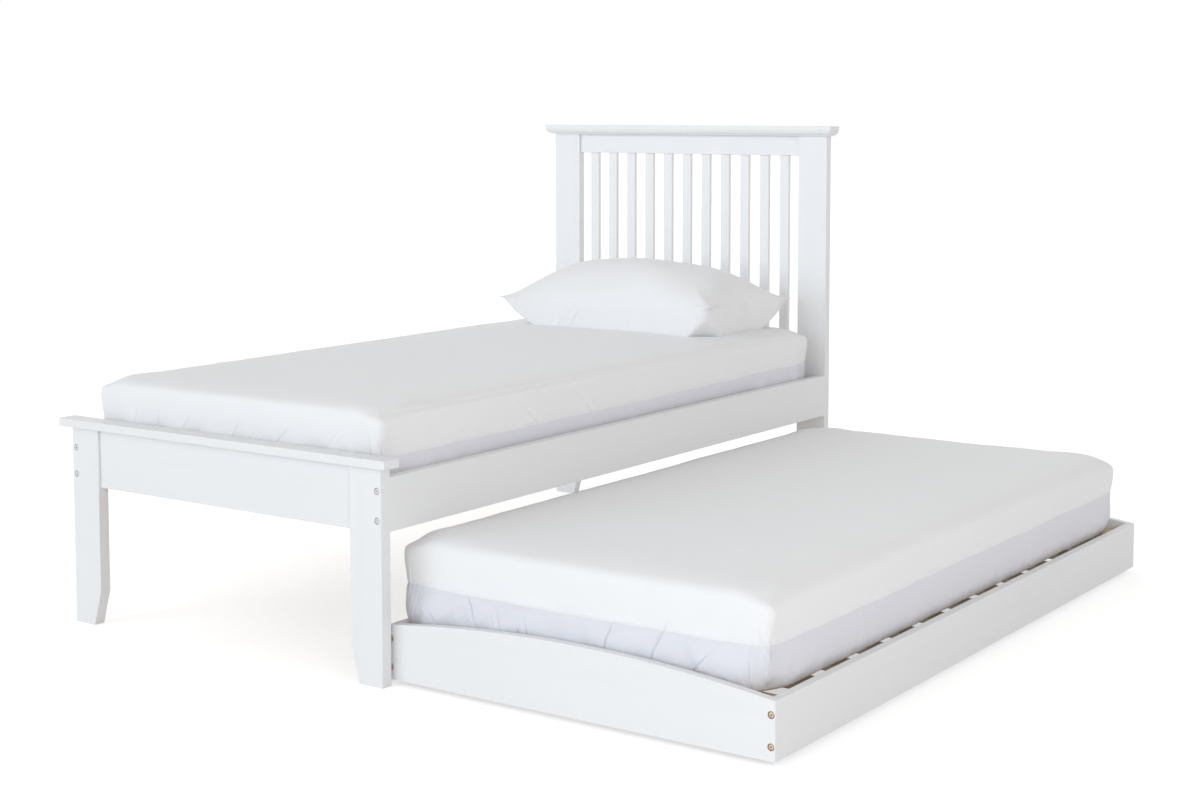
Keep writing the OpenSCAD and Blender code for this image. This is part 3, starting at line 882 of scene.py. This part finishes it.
class Mattress:
    """A mattress in a fitted cover: white over the top, with a cooler skirt under the seam.
    Its own frame is the middle of its CAD box. round_edges gives how far the rounding of the
    edges reaches from the left, right and end sides, down from the top and up from the
    underside. spread is how far each side stands past the CAD box: left, right, foot, head
    and top. CROWN is how far the middle of the top rises, PULL_REACH how far a corner's pull
    reaches, CORNER_DROP how far it cuts the top down and CORNER_DRAW how far it draws the
    lower corner in. slack is the depth of the groove where the cover is loose under its long edges, and
    belly is how far the skirt bulges at the ends."""

    CELL = 14 * MM
    REFINE = (24 * MM, 10 * MM, 5 * MM)
    CROWN = 5 * MM
    PULL_REACH = 55 * MM
    CORNER_DROP = 17 * MM
    CORNER_DRAW = 26 * MM

    def __init__(self, node, body, round_edges, spread, seam, slack, belly, folds, seed):
        self.node, self.body, self.seam = node, body, seam * MM
        self.slack, self.belly = slack * MM, belly * MM
        self.round_edges = [r * MM for r in round_edges]
        self.rng = random.Random(seed)
        self.low, self.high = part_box(node)
        self.centre = (self.low + self.high) / 2
        self.half = (self.high - self.low) / 2
        left, right, foot, head, top = (s * MM for s in spread)
        self.fit_low = -self.half - Vector((left, foot, 0))
        self.fit_high = self.half + Vector((right, head, top))
        self.shift = seed * 3.7
        self.folds = [
            Fold(self.start_of(side) + at * MM, *(s * MM for s in sizes), *lean)
            for side, at, sizes, lean in folds
        ]
        self.folds += self.corner_pleats() + self.scattered_folds()

    def start_of(self, side):
        """Place on the girth of the middle of a side."""
        quarter = self.half.x + self.half.y
        return {"foot": 0.0, "right": quarter, "head": 2 * quarter, "left": -quarter}[side]

    def girth(self, places):
        """Distance round the outline from the middle of the foot side, towards +X. The two ends
        meet at the left corner of the head."""
        x, y = places[:, 0], places[:, 1]
        quarter = self.half.x + self.half.y
        across, along = np.abs(x) - self.half.x, np.abs(y) - self.half.y
        side = np.where(x > 0, quarter + y, -quarter - y)
        end = np.where(y < 0, x, 2 * quarter - x)
        return np.where(across > along, side, end)

    def corner_pleats(self):
        """Upright pleats at the four corners, drawn together at the hem."""
        found = []
        corners = (self.half.x, self.half.x + 2 * self.half.y)
        for corner in (corners[0], -corners[0], corners[1], -corners[1]):
            for step in (-36, -20, -6, 8, 22, 38):
                foot = corner + (0.3 * step + self.rng.uniform(-3, 3)) * MM
                high = self.rng.uniform(110, 190) * MM
                lean = 0.7 * step / 150 + self.rng.uniform(-0.05, 0.05)
                depth = self.rng.uniform(0.8, 1.8) * MM
                width = self.rng.choice((-1, 1)) * self.rng.uniform(1.8, 3.2) * MM
                found.append(Fold(foot, 4 * MM, high, depth, width, lean))
        return found

    def scattered_folds(self):
        """Small folds that rise from the hem at uneven distances all round."""
        found = []
        length = 2 * (self.half.x + self.half.y)
        at = -length
        while at < length:
            at += 110 * MM * self.rng.uniform(0.1, 1.9)
            width = self.rng.choice((-1, 1)) * self.rng.uniform(1.6, 3.2) * MM
            low, high = self.rng.uniform(2, 14) * MM, self.rng.uniform(30, 85) * MM
            depth, lean = self.rng.uniform(0.5, 1.3) * MM, self.rng.uniform(-0.6, 0.6)
            found.append(Fold(at, low, high, depth, width, lean, self.rng.uniform(-2, 2)))
        return found

    def seam_height(self, places):
        """Height of the seam over the underside: it dips along the ends and wanders."""
        across, along = places[:, 0] / self.half.x, places[:, 1] / self.half.y
        dip = 5 * MM * np.clip(1 - across**2, 0, 1)
        level = places * np.array((1, 1, 0))
        wander = 3 * MM * noise_at(level, 3.0, self.shift)
        wander += 2 * MM * noise_at(level, 13.0, self.shift)
        return self.seam + 4 * MM * along - dip + wander

    def shaped(self, point):
        """A flat box's point on the mattress's own shape: rounded, crowned, cut down at its top
        corners by the pull of the cover, and drawn in at its lower ones."""
        half = self.half
        left, right, end, top, under = self.round_edges
        radii = Vector((right if point.x > 0 else left, end, top if point.z > 0 else under))
        inner = half - radii
        core = Vector(max(-h, min(h, c)) for c, h in zip(point, inner))
        out = Vector((p - c) / r for p, c, r in zip(point, core, radii)).normalized()
        place = core + Vector(o * r for o, r in zip(out, radii))
        up = (place.z + half.z) / (2 * half.z)
        across, along = place.x / half.x, place.y / half.y
        crown = self.CROWN * (1 - across**4) * (1 - along**8)
        corner = Vector((half.x - abs(place.x), half.y - abs(place.y))).length
        pull = math.exp(-((corner / self.PULL_REACH) ** 2))
        place.z += (crown - self.CORNER_DROP * pull) * max(0.0, 2 * up - 1) ** 2
        draw = self.CORNER_DRAW * (1 + 0.2 * across) * (1 - 0.2 * along) * pull
        draw *= max(0.0, 1 - 1.3 * up)
        place.x -= draw * math.copysign(0.9, across)
        place.y -= draw * math.copysign(0.4, along)
        return place

    def build(self):
        bm = grid_box(2 * self.half, self.CELL)
        flat = [v.co.copy() for v in bm.verts]
        for vert in bm.verts:
            vert.co = self.shaped(vert.co)
        obj = piece_from(f"covered_{self.node}", bm, "cover")
        mesh = obj.data
        heights = [p.z + self.half.z for p in flat]
        set_values(mesh, "height", heights)
        cloth_map(mesh, flat, self.map_axes)
        held = obj.vertex_groups.new(name="held")
        held.add([i for i, h in enumerate(heights) if h < 8 * MM], 1.0, "REPLACE")
        inflate(obj, 18, 2.5, 0.015, 0.4, 6 * MM, "held")
        obj.vertex_groups.clear()
        fit_to(obj.data, self.fit_low, self.fit_high)
        subdivided(obj)
        split_near(obj.data, self.near, self.REFINE)
        self.wrinkle(obj.data)
        obj.data.transform(Matrix.Translation(self.centre))
        obj.data.shade_smooth()
        settle(obj, self.body, "mattress_cover", self.node)
        self.stitch(obj.data)
        mesh = obj.data
        mesh.attributes.remove(mesh.attributes["height"])
        return obj

    def near(self, middles, heights, reach):
        """Which faces are near a fold or, on the first pass, near the groove under the edge."""
        at = self.girth(middles)
        found = np.zeros(len(at), bool)
        if reach == self.REFINE[0]:
            side = np.abs(middles[:, 0]) > self.half.x - 24 * MM
            found = side & (heights > 2 * self.half.z - 32 * MM)
        for fold in self.folds:
            found |= fold.covers(at, heights, reach)
        return found

    @staticmethod
    def map_axes(face):
        way = max(range(3), key=lambda k: abs(face.normal[k]))
        return [k for k in range(3) if k != way]

    def wrinkle(self, mesh):
        """Presses the folds, the gathers at the hem and the seam's step into the sides, and a
        loose groove with small ripples under the long edges of the top."""
        places, flat = places_of(mesh), values_of(mesh, "height")
        height, at = places[:, 2] + self.half.z, self.girth(places)
        over = height - self.seam_height(places)
        top = 2 * self.half.z
        out = normals_of(mesh)
        side = smooth(0, 6 * MM, flat) * (1 - smooth(top - 12 * MM, top - MM, flat))
        skirt = 1 - smooth(-4 * MM, 4 * MM, over)
        folds = sum(fold.push(at, flat) for fold in self.folds)
        push = 1.5 * MM * noise_at(places, 4, self.shift)
        push += 0.8 * MM * noise_at(places, (11, 11, 5), self.shift)
        gather = 2.0 * noise_at(places, (42, 42, 10), self.shift)
        gather += 1.4 * noise_at(places, (64, 64, 12), self.shift)
        hem = gather * MM * (1 - smooth(4 * MM, 46 * MM, height))
        pinch = -1.8 * MM * np.exp(-((over / (5 * MM)) ** 2))
        belly = 1.5 * MM + (self.belly - 1.5 * MM) * np.abs(out[:, 1])
        belly = belly * np.sin(np.clip(height / self.seam, 0, 1) ** 0.7 * math.pi) * skirt
        push += side * (folds + hem + pinch + belly)
        long_way = places * np.array((0, 1, 0))
        loose = 0.9 + 1.0 * noise_at(long_way, 2.6, self.shift)
        ripple = noise_at(places, (9, 30, 14), self.shift) * smooth(0.6, 1.2, loose) * 1.3
        under = top - 13 * MM - height
        groove = np.exp(-((under / (6 * MM)) ** 2)) * np.maximum(loose, 0.35)
        ripple = ripple * np.exp(-(((under - 8 * MM) / (18 * MM)) ** 2))
        push -= self.slack * np.abs(out[:, 0]) ** 0.5 * (groove - ripple)
        move_to(mesh, places + normals_of(mesh) * push[:, None])
        set_values(mesh, "above_seam", over)

    def seam_line(self, mesh):
        """Points along the line where the seam crosses the mesh, in order round the girth."""
        over, places = values_of(mesh, "above_seam"), places_of(mesh)
        ends = np.empty(2 * len(mesh.edges), int)
        mesh.edges.foreach_get("vertices", ends)
        first, second = ends.reshape(-1, 2).T
        crossing = (over[first] < 0) != (over[second] < 0)
        first, second = first[crossing], second[crossing]
        share = (over[first] / (over[first] - over[second]))[:, None]
        points = places[first] * (1 - share) + places[second] * share
        at = self.girth(points - np.array(self.centre))
        steps = np.round(at / (8 * MM)).astype(int)
        return [points[steps == step].mean(axis=0) for step in np.unique(steps)]

    def stitch(self, mesh):
        """A row of stitches just over the seam."""
        line = self.seam_line(mesh)
        guide = bpy.data.meshes.new("seam")
        lifted = [Vector(p) + Vector((0, 0, 3 * MM)) for p in line]
        guide.from_pydata(lifted, [(i, (i + 1) % len(line)) for i in range(len(line))], [])
        seam = new_piece("seam", guide)
        bm = bmesh.new()
        bmesh.ops.create_uvsphere(bm, u_segments=6, v_segments=5, radius=1.0)
        bmesh.ops.scale(bm, vec=(0.7 * MM, 0.7 * MM, 1.9 * MM), verts=bm.verts)
        thread = piece_from("one_stitch", bm, "thread")
        thread.data.shade_smooth()
        name = f"seam_stitches_{self.node}"
        row = repeated(name, STITCHES, "thread", Seam=seam, Stitch=thread, Pitch=5 * MM)
        drop(seam, thread)
        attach(row, self.body)


class Pillow:
    """A cotton pillow: two sheets sewn together round the edge, blown up, and pressed flat where
    they lie on the mattress. EAR is the reach of an ear, LIFT how far in from its tip the
    underside meets the mattress, and DRAWN the height of the ridge up from the near ear."""

    CELL = 8 * MM
    SEAM_HEIGHT = 92 * MM
    PEAK = 206 * MM
    SINK = 5 * MM
    EAR = 85 * MM
    LIFT = 125 * MM
    DRAWN = 4.5 * MM
    FOLDS = [
        Fold(-0.215, 0.004, 0.085, -1.4 * MM, 3.0 * MM, 0.9),
        Fold(-0.190, 0.010, 0.095, 1.4 * MM, -2.6 * MM, 1.0),
        Fold(-0.155, 0.002, 0.070, 1.5 * MM, 2.8 * MM, 0.8),
        Fold(0.060, 0.004, 0.050, 0.8 * MM, 3.0 * MM, -0.3),
        Fold(0.285, 0.004, 0.090, 1.5 * MM, -3.2 * MM, 0.5),
    ]

    def __init__(self):
        self.low, self.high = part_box("pillow")
        self.size, self.centre = self.high - self.low, (self.low + self.high) / 2
        self.size += Vector((16 * MM, 24 * MM, 0))
        self.centre.x -= 8 * MM
        self.centre.y -= 10 * MM
        self.cut = Vector((1.075 * self.size.x, 1.14 * self.size.y))

    def sheets(self):
        """The two flat sheets as one closed mesh."""
        across, along = (round(s / self.CELL) for s in self.cut)
        bm = bmesh.new()
        lower = {}
        for side in (-1, 1):
            grid = {}
            for i in range(across + 1):
                for j in range(along + 1):
                    edge = i in (0, across) or j in (0, along)
                    if edge and side == 1:
                        grid[i, j] = lower[i, j]
                        continue
                    u, v = i / across - 0.5, j / along - 0.5
                    rise = 0 if edge else 6 * MM + 3 * MM * noise.noise((u * 9, v * 9, side))
                    grid[i, j] = bm.verts.new((u * self.cut.x, v * self.cut.y, side * rise))
            lower = lower or grid
            for i in range(across):
                for j in range(along):
                    ring = (grid[i, j], grid[i + 1, j], grid[i + 1, j + 1], grid[i, j + 1])
                    bm.faces.new(ring if side == 1 else ring[::-1])
        return bm

    def build(self):
        obj = piece_from("cotton_pillow", self.sheets(), "cotton")
        mesh = obj.data
        flat = places_of(mesh)
        cloth_map(mesh, flat, lambda face: (0, 1))
        edge = abs(abs(flat[:, 0]) - self.cut.x / 2) < MM
        edge |= abs(abs(flat[:, 1]) - self.cut.y / 2) < MM
        inflate(obj, 45, 9.0, 0.0, 2.5, 1.0)
        from_corner = np.hypot(*(self.cut[k] / 2 - np.abs(flat[:, k]) for k in (0, 1)))
        self.relax(obj.data, edge, edge & (from_corner < 70 * MM))
        self.lay(obj.data)
        self.sew(obj.data, edge)
        subdivided(obj)
        self.crease(obj.data)
        obj.data.transform(Matrix.Translation(self.centre))
        obj.data.shade_smooth()
        return settle(obj, "bed", "pillow_cotton", "pillow")

    @staticmethod
    def relax(mesh, edge, ears):
        """Lets the hard puckers out, first all round but for the ears, then off the sewn edge."""
        bm = bmesh.new()
        bm.from_mesh(mesh)
        bm.verts.ensure_lookup_table()
        for held, times in ((ears, 24), (edge, 34)):
            free = [bm.verts[i] for i in np.flatnonzero(~held)]
            for _ in range(times):
                bmesh.ops.smooth_vert(
                    bm, verts=free, factor=0.5, use_axis_x=True, use_axis_y=True, use_axis_z=True
                )
        bm.to_mesh(mesh)
        bm.free()

    def lay(self, mesh):
        """Fits the pillow to its place, domes its top, thins its ears and presses its underside
        flat on the mattress."""
        half = self.size / 2
        fit_to(mesh, (-half.x, -half.y, -1), (half.x, half.y, 1))
        places = places_of(mesh)
        across, along, up = places[:, 0] / half.x, places[:, 1] / half.y, places[:, 2]
        corner = np.hypot(half.x - np.abs(places[:, 0]), half.y - np.abs(places[:, 1]))
        ear = np.exp(-((corner / self.EAR) ** 2))
        peak = 1 - 0.16 * (across + 0.12) ** 2 - 0.10 * along**2
        seam = self.SEAM_HEIGHT - 20 * MM * np.clip(1 - across**2, 0, 1) * (1 - ear)
        upper = up * peak * (1 - 0.35 * ear) * (self.PEAK - seam)
        pressed = 1 - (1 - np.clip(-up * (2.4 + 6 * ear), 0, 1)) ** 2
        pressed *= np.clip(corner / self.LIFT, 0, 1) ** 0.9
        bottom = -half.z - self.SINK
        places[:, 2] = bottom + seam + np.where(up > 0, upper, -seam * pressed)
        curled = np.exp(-((np.hypot(half.x - places[:, 0], half.y + places[:, 1]) / 0.09) ** 2))
        places += curled[:, None] * np.array((-12 * MM, 8 * MM, 6 * MM))
        move_to(mesh, places)

    def sew(self, mesh, edge):
        """Draws the sewn edge out into a thin lip."""
        out = normals_of(mesh)
        out[:, 2] = 0
        move_to(mesh, places_of(mesh) + out * edge[:, None] * 1.5 * MM)
        crease = mesh.attributes.new("crease_edge", "FLOAT", "EDGE")
        for value, line in zip(crease.data, mesh.edges):
            value.value = 0.7 * float(edge[line.vertices[0]] and edge[line.vertices[1]])

    def near(self, middles, heights, reach):
        return np.any([fold.covers(middles[:, 0], heights, reach) for fold in self.FOLDS], axis=0)

    def crease(self, mesh):
        """Presses a few gathers into the side that faces the foot of the bed, and draws a soft
        ridge up from the near ear."""
        places = places_of(mesh)
        front = places[:, 1] < -0.3 * self.size.y
        low = places[:, 2].min()
        set_values(mesh, "height", np.where(front, places[:, 2] - low, 1.0))
        split_near(mesh, self.near, (20 * MM, 8 * MM))
        places, height = places_of(mesh), values_of(mesh, "height")
        push = sum(fold.push(places[:, 0], height) for fold in self.FOLDS)
        push = push * smooth(0.5, 0.8, -2 * places[:, 1] / self.size.y)
        back = np.array((self.size.x / 2, -self.size.y / 2)) - places[:, :2]
        back = back @ np.array(((0.80, 0.60), (-0.60, 0.80)))
        drawn = np.exp(-((back[:, 1] / 0.013) ** 2)) * (places[:, 2] > low + 0.09)
        drawn *= smooth(0.02, 0.06, back[:, 0]) * (1 - smooth(0.08, 0.19, back[:, 0]))
        push += self.DRAWN * drawn
        push += 1.6 * MM * noise_at(places, 9) + 1.0 * MM * noise_at(places, (22, 14, 14))
        push *= smooth(3 * MM, 12 * MM, places[:, 2] - low)
        move_to(mesh, places + normals_of(mesh) * push[:, None])
        mesh.attributes.remove(mesh.attributes["height"])


# ---------------------------------------------------------------- everything in its place

for axis, nodes in (
    ("z", "headboard_post_left headboard_post_right"),
    ("x", "headboard_top_rail headboard_bottom_rail headboard_cap"),
    ("z", "footboard_leg_left footboard_leg_right"),
    ("x", "footboard_panel footboard_cap"),
    ("y", "side_rail_left side_rail_right"),
):
    for node in nodes.split():
        painted_board(node, "bed", axis)
for side, axis in (("foot", "x"), ("head", "x"), ("left", "y"), ("right", "y")):
    painted_board(f"trundle_{side}_panel", "trundle", axis, bare_recess=axis == "x")
spindle_row()

bed_slats = cad_bmesh("bed_slats")
slat_row("planed_bed_slats", "bed", [box_of(s) for s in solids_of(bed_slats)], 2, "bed_slats")
bed_slats.free()
trundle_slats = [n for n in NODES if n.startswith("trundle_slat_") and n[-1].isdigit()]
slat_row(
    "planed_trundle_slats", "trundle", [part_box(n) for n in trundle_slats], 3, *trundle_slats
)
for node in ("bed_slat_ledgers", "trundle_slat_ledgers", "castor_blocks"):
    body = "bed" if node.startswith("bed") else "trundle"
    eased_part("planed", node, body, "pine", "pine_y", 1.2 * MM)

all_fixings()
for node, body, slot, radius in (
    ("bed_barrel_nuts", "bed", "zinc", 0.4),
    ("trundle_barrel_nuts", "trundle", "zinc", 0.4),
    ("castor_brackets", "trundle", "pressed_steel", 0.5),
    ("castor_axles", "trundle", "zinc", 0.4),
):
    eased_part("finished", node, body, slot, "zinc", radius * MM)
for body in frame["bodies"]:
    if body.startswith("castor_wheel"):
        eased_part("finished", body, body, "nylon_wheel", "nylon", 0.5 * MM)

# Folds that stand out: the side, the place along it, then where the fold starts, where it ends,
# its depth and its width in millimetres, and how it leans and bends
UPPER_FOLDS = [
    ("foot", -330, (60, 160, 1.4, 3.5), (0.2,)),
    ("foot", -250, (60, 165, 1.4, 3), (0.1,)),
    ("foot", -190, (50, 155, 1.5, 6), (0.55,)),
    ("foot", -150, (60, 150, 1.2, -6), (0.8,)),
    ("foot", -20, (50, 168, 1.5, 6), (0.45,)),
    ("foot", 30, (60, 150, 1.2, -6), (0.7,)),
    ("foot", 95, (60, 165, 1.5, 7), (1.0,)),
    ("foot", 130, (60, 160, 1.2, -6), (1.1,)),
    ("foot", 230, (50, 172, 1.5, -6), (1.05,)),
    ("foot", 395, (40, 150, 2.4, 3.5), (-0.3,)),
    ("foot", 425, (40, 165, 2.7, -3.5), (-0.1,)),
    ("foot", 440, (40, 160, 2.2, 3), (0.0,)),
    ("right", -162, (102, 196, -1.8, 3.0), (-1.11,)),
    ("right", -380, (102, 196, -1.4, 3.5), (-1.30,)),
    ("right", -429, (104, 172, -1.0, 5), (-1.10,)),
    ("right", -640, (104, 165, -1.0, 5), (-1.40,)),
    ("right", 20, (20, 95, 2.4, 3), (0.05,)),
    ("right", 60, (120, 180, -0.8, 5), (-0.1,)),
    ("right", 210, (30, 100, 1.5, 3), (-0.1,)),
    ("right", 420, (60, 150, 0.8, 5), (0.9,)),
    ("left", -300, (60, 170, 1.4, 4), (1.1,)),
    ("left", 260, (60, 160, 1.4, -4), (-1.0,)),
]
TRUNDLE_FOLDS = [
    ("foot", -350, (8, 66, 3.4, 2.8), (-0.4, -8.0)),
    ("foot", -240, (8, 122, 3.2, 2.4), (-0.5,)),
    ("foot", -195, (8, 90, 1.9, -5), (-0.4,)),
    ("foot", -168, (10, 105, 2.4, -4), (-0.55,)),
    ("foot", -138, (12, 66, 3.5, 3), (-0.15,)),
    ("foot", -126, (14, 74, 2.4, -3.2), (-0.3,)),
    ("foot", -112, (10, 84, 3.2, -2.6), (-0.2,)),
    ("foot", -40, (10, 50, 1.6, 3), (0.1,)),
    ("foot", 70, (8, 122, 3.1, 2.2), (0.05, 1.2)),
    ("foot", 120, (8, 70, 1.4, 5), (0.2,)),
    ("foot", 172, (8, 140, 3.1, 2.2), (0.36,)),
    ("foot", 268, (8, 86, 3.5, -2.4), (0.5, 4.0)),
    ("foot", 400, (6, 150, 1.4, 3), (0.05,)),
    ("foot", 428, (6, 190, -1.8, 2.4), (-0.04,)),
    ("foot", 438, (6, 150, -1.5, -2.4), (0.10,)),
    ("right", -520, (4, 120, 1.2, 4), (-0.3,)),
    ("right", 60, (90, 190, -1.0, 5), (-0.8,)),
    ("right", 300, (4, 110, 1.2, -4), (0.3,)),
]
UPPER_EDGES, UPPER_SPREAD = (24, 26, 10, 16, 16), (2, 2, 8, 2, 5)
TRUNDLE_EDGES, TRUNDLE_SPREAD = (14, 46, 16, 24, 24), (30, 2, 12, 3, 6)
Mattress(
    "upper_mattress", "bed", UPPER_EDGES, UPPER_SPREAD, 100, 5, 3, UPPER_FOLDS, 1
).build()
Mattress(
    "trundle_mattress", "trundle", TRUNDLE_EDGES, TRUNDLE_SPREAD, 106, 0.8, 10, TRUNDLE_FOLDS, 2
).build()
Pillow().build()


# ---------------------------------------------------------------- floor, light and camera


def plain_glow(name, glow, diffuse, see_through=False):
    """A white stage finish: an even light of its own over a matt surface, or over nothing."""
    finish, tree, shader, place = new_finish(name)
    shader.inputs["Base Color"].default_value = (diffuse, diffuse, diffuse, 1)
    shader.inputs["Roughness"].default_value = 0.9
    shader.inputs["Specular IOR Level"].default_value = 0.0
    shader.inputs["Emission Color"].default_value = (1, 1, 1, 1)
    shader.inputs["Emission Strength"].default_value = glow
    if see_through:
        clear = add_node(tree, "ShaderNodeBsdfTransparent").outputs[0]
        both = add_node(tree, "ShaderNodeAddShader", {0: clear, 1: shader.outputs[0]})
        tree.links.new(both.outputs[0], tree.nodes["Material Output"].inputs["Surface"])
    return finish


def stage():
    """A wide white floor under a thin white veil, and a white dome. The camera sees the veil and
    the dome, which cast no light."""
    FINISH["floor"] = plain_glow("floor_white", 0.20, 0.55)
    FINISH["dome"] = plain_glow("dome_white", 1.0, 0.0)
    FINISH["veil"] = plain_glow("veil_white", 0.34, 0.0, see_through=True)
    reach = 60.0
    bm = bmesh.new()
    bmesh.ops.create_circle(bm, cap_ends=True, segments=96, radius=reach)
    floor = new_piece("studio_floor", plain_mesh("studio_floor", bm), "floor")
    bmesh.ops.translate(bm, verts=bm.verts, vec=(0, 0, 0.2 * MM))
    veil = piece_from("studio_veil", bm, "veil")
    bm = bmesh.new()
    bmesh.ops.create_uvsphere(bm, u_segments=48, v_segments=24, radius=reach)
    dome = piece_from("studio_dome", bm, "dome")
    for unlit in (veil, dome):
        unlit.visible_diffuse = unlit.visible_glossy = unlit.visible_shadow = False
    return floor


def lamp(name, kind, place, aim, energy, **settings):
    data = bpy.data.lights.new(name, kind)
    data.energy = energy
    data.color = (1.0, 0.995, 0.985)
    for key, value in settings.items():
        setattr(data, key, value)
    holder = bpy.data.objects.new(name, data)
    bpy.context.scene.collection.objects.link(holder)
    holder.location = place
    way = Vector(aim) - Vector(place)
    holder.rotation_euler = way.to_track_quat("-Z", "Y").to_euler()
    return holder


def studio_light(floor):
    """A soft even sky with a brighter backdrop, a broad cool light from the front on the bed's
    side, a faint fill from the other side, and low washes that only whiten the floor."""
    world = bpy.data.worlds.new("soft_sky")
    bpy.context.scene.world = world
    world.use_nodes = True
    tree = world.node_tree
    way = add_node(tree, "ShaderNodeTexCoord").outputs["Generated"]
    up = add_node(tree, "ShaderNodeSeparateXYZ", {"Vector": way}).outputs["Z"]
    back = add_node(
        tree, "ShaderNodeVectorMath", {0: way, 1: (-0.70, 0.70, 0.10)}, operation="DOT_PRODUCT"
    ).outputs["Value"]
    sky = remap(tree, up, 0.0, 1.0, 0.76, 0.545)
    glow = remap(tree, back, 0.3, 1.0, 0.0, 0.5)
    background = tree.nodes["Background"]
    background.inputs["Color"].default_value = (1.0, 0.993, 0.982, 1)
    tree.links.new(calculate(tree, "ADD", sky, glow), background.inputs["Strength"])
    front, side = (-2.6, -5.4, 1.5), (4.8, -3.4, 1.9)
    cool = lamp("front_light", "SUN", front, (0, 0, 0.4), 1.2, angle=math.radians(40))
    cool.data.color = (0.80, 0.90, 1.0)
    lamp("side_fill", "AREA", side, (0, 0, 0.4), 56, shape="DISK", size=2.0)
    floor_only = bpy.data.collections.new("floor_only")
    floor_only.objects.link(floor)
    low_washes = {"wash_front": (-4, -7, 3.4), "wash_left": (-8, 2, 3.4), "wash_right": (8, -3, 3.4)}
    for name, place in low_washes.items():
        wash = lamp(name, "SUN", place, (0, 0, 0), 0.8, angle=math.radians(70))
        wash.light_linking.receiver_collection = floor_only


def camera():
    """Stands off the trundle's foot corner, at chest height, looking a little down."""
    lens = bpy.data.cameras.new("view")
    lens.sensor_width = 36
    lens.lens = 58.7
    lens.shift_x, lens.shift_y = -0.0091, -0.1083
    lens.clip_end = 200
    holder = bpy.data.objects.new("view", lens)
    bpy.context.scene.collection.objects.link(holder)
    holder.location = (2.7645, -4.081, 1.239)
    holder.rotation_euler = (math.radians(90 - 4.73), 0, math.radians(34.68))
    bpy.context.scene.camera = holder


studio_light(stage())
camera()
bpy.context.scene.view_settings.view_transform = "Standard"
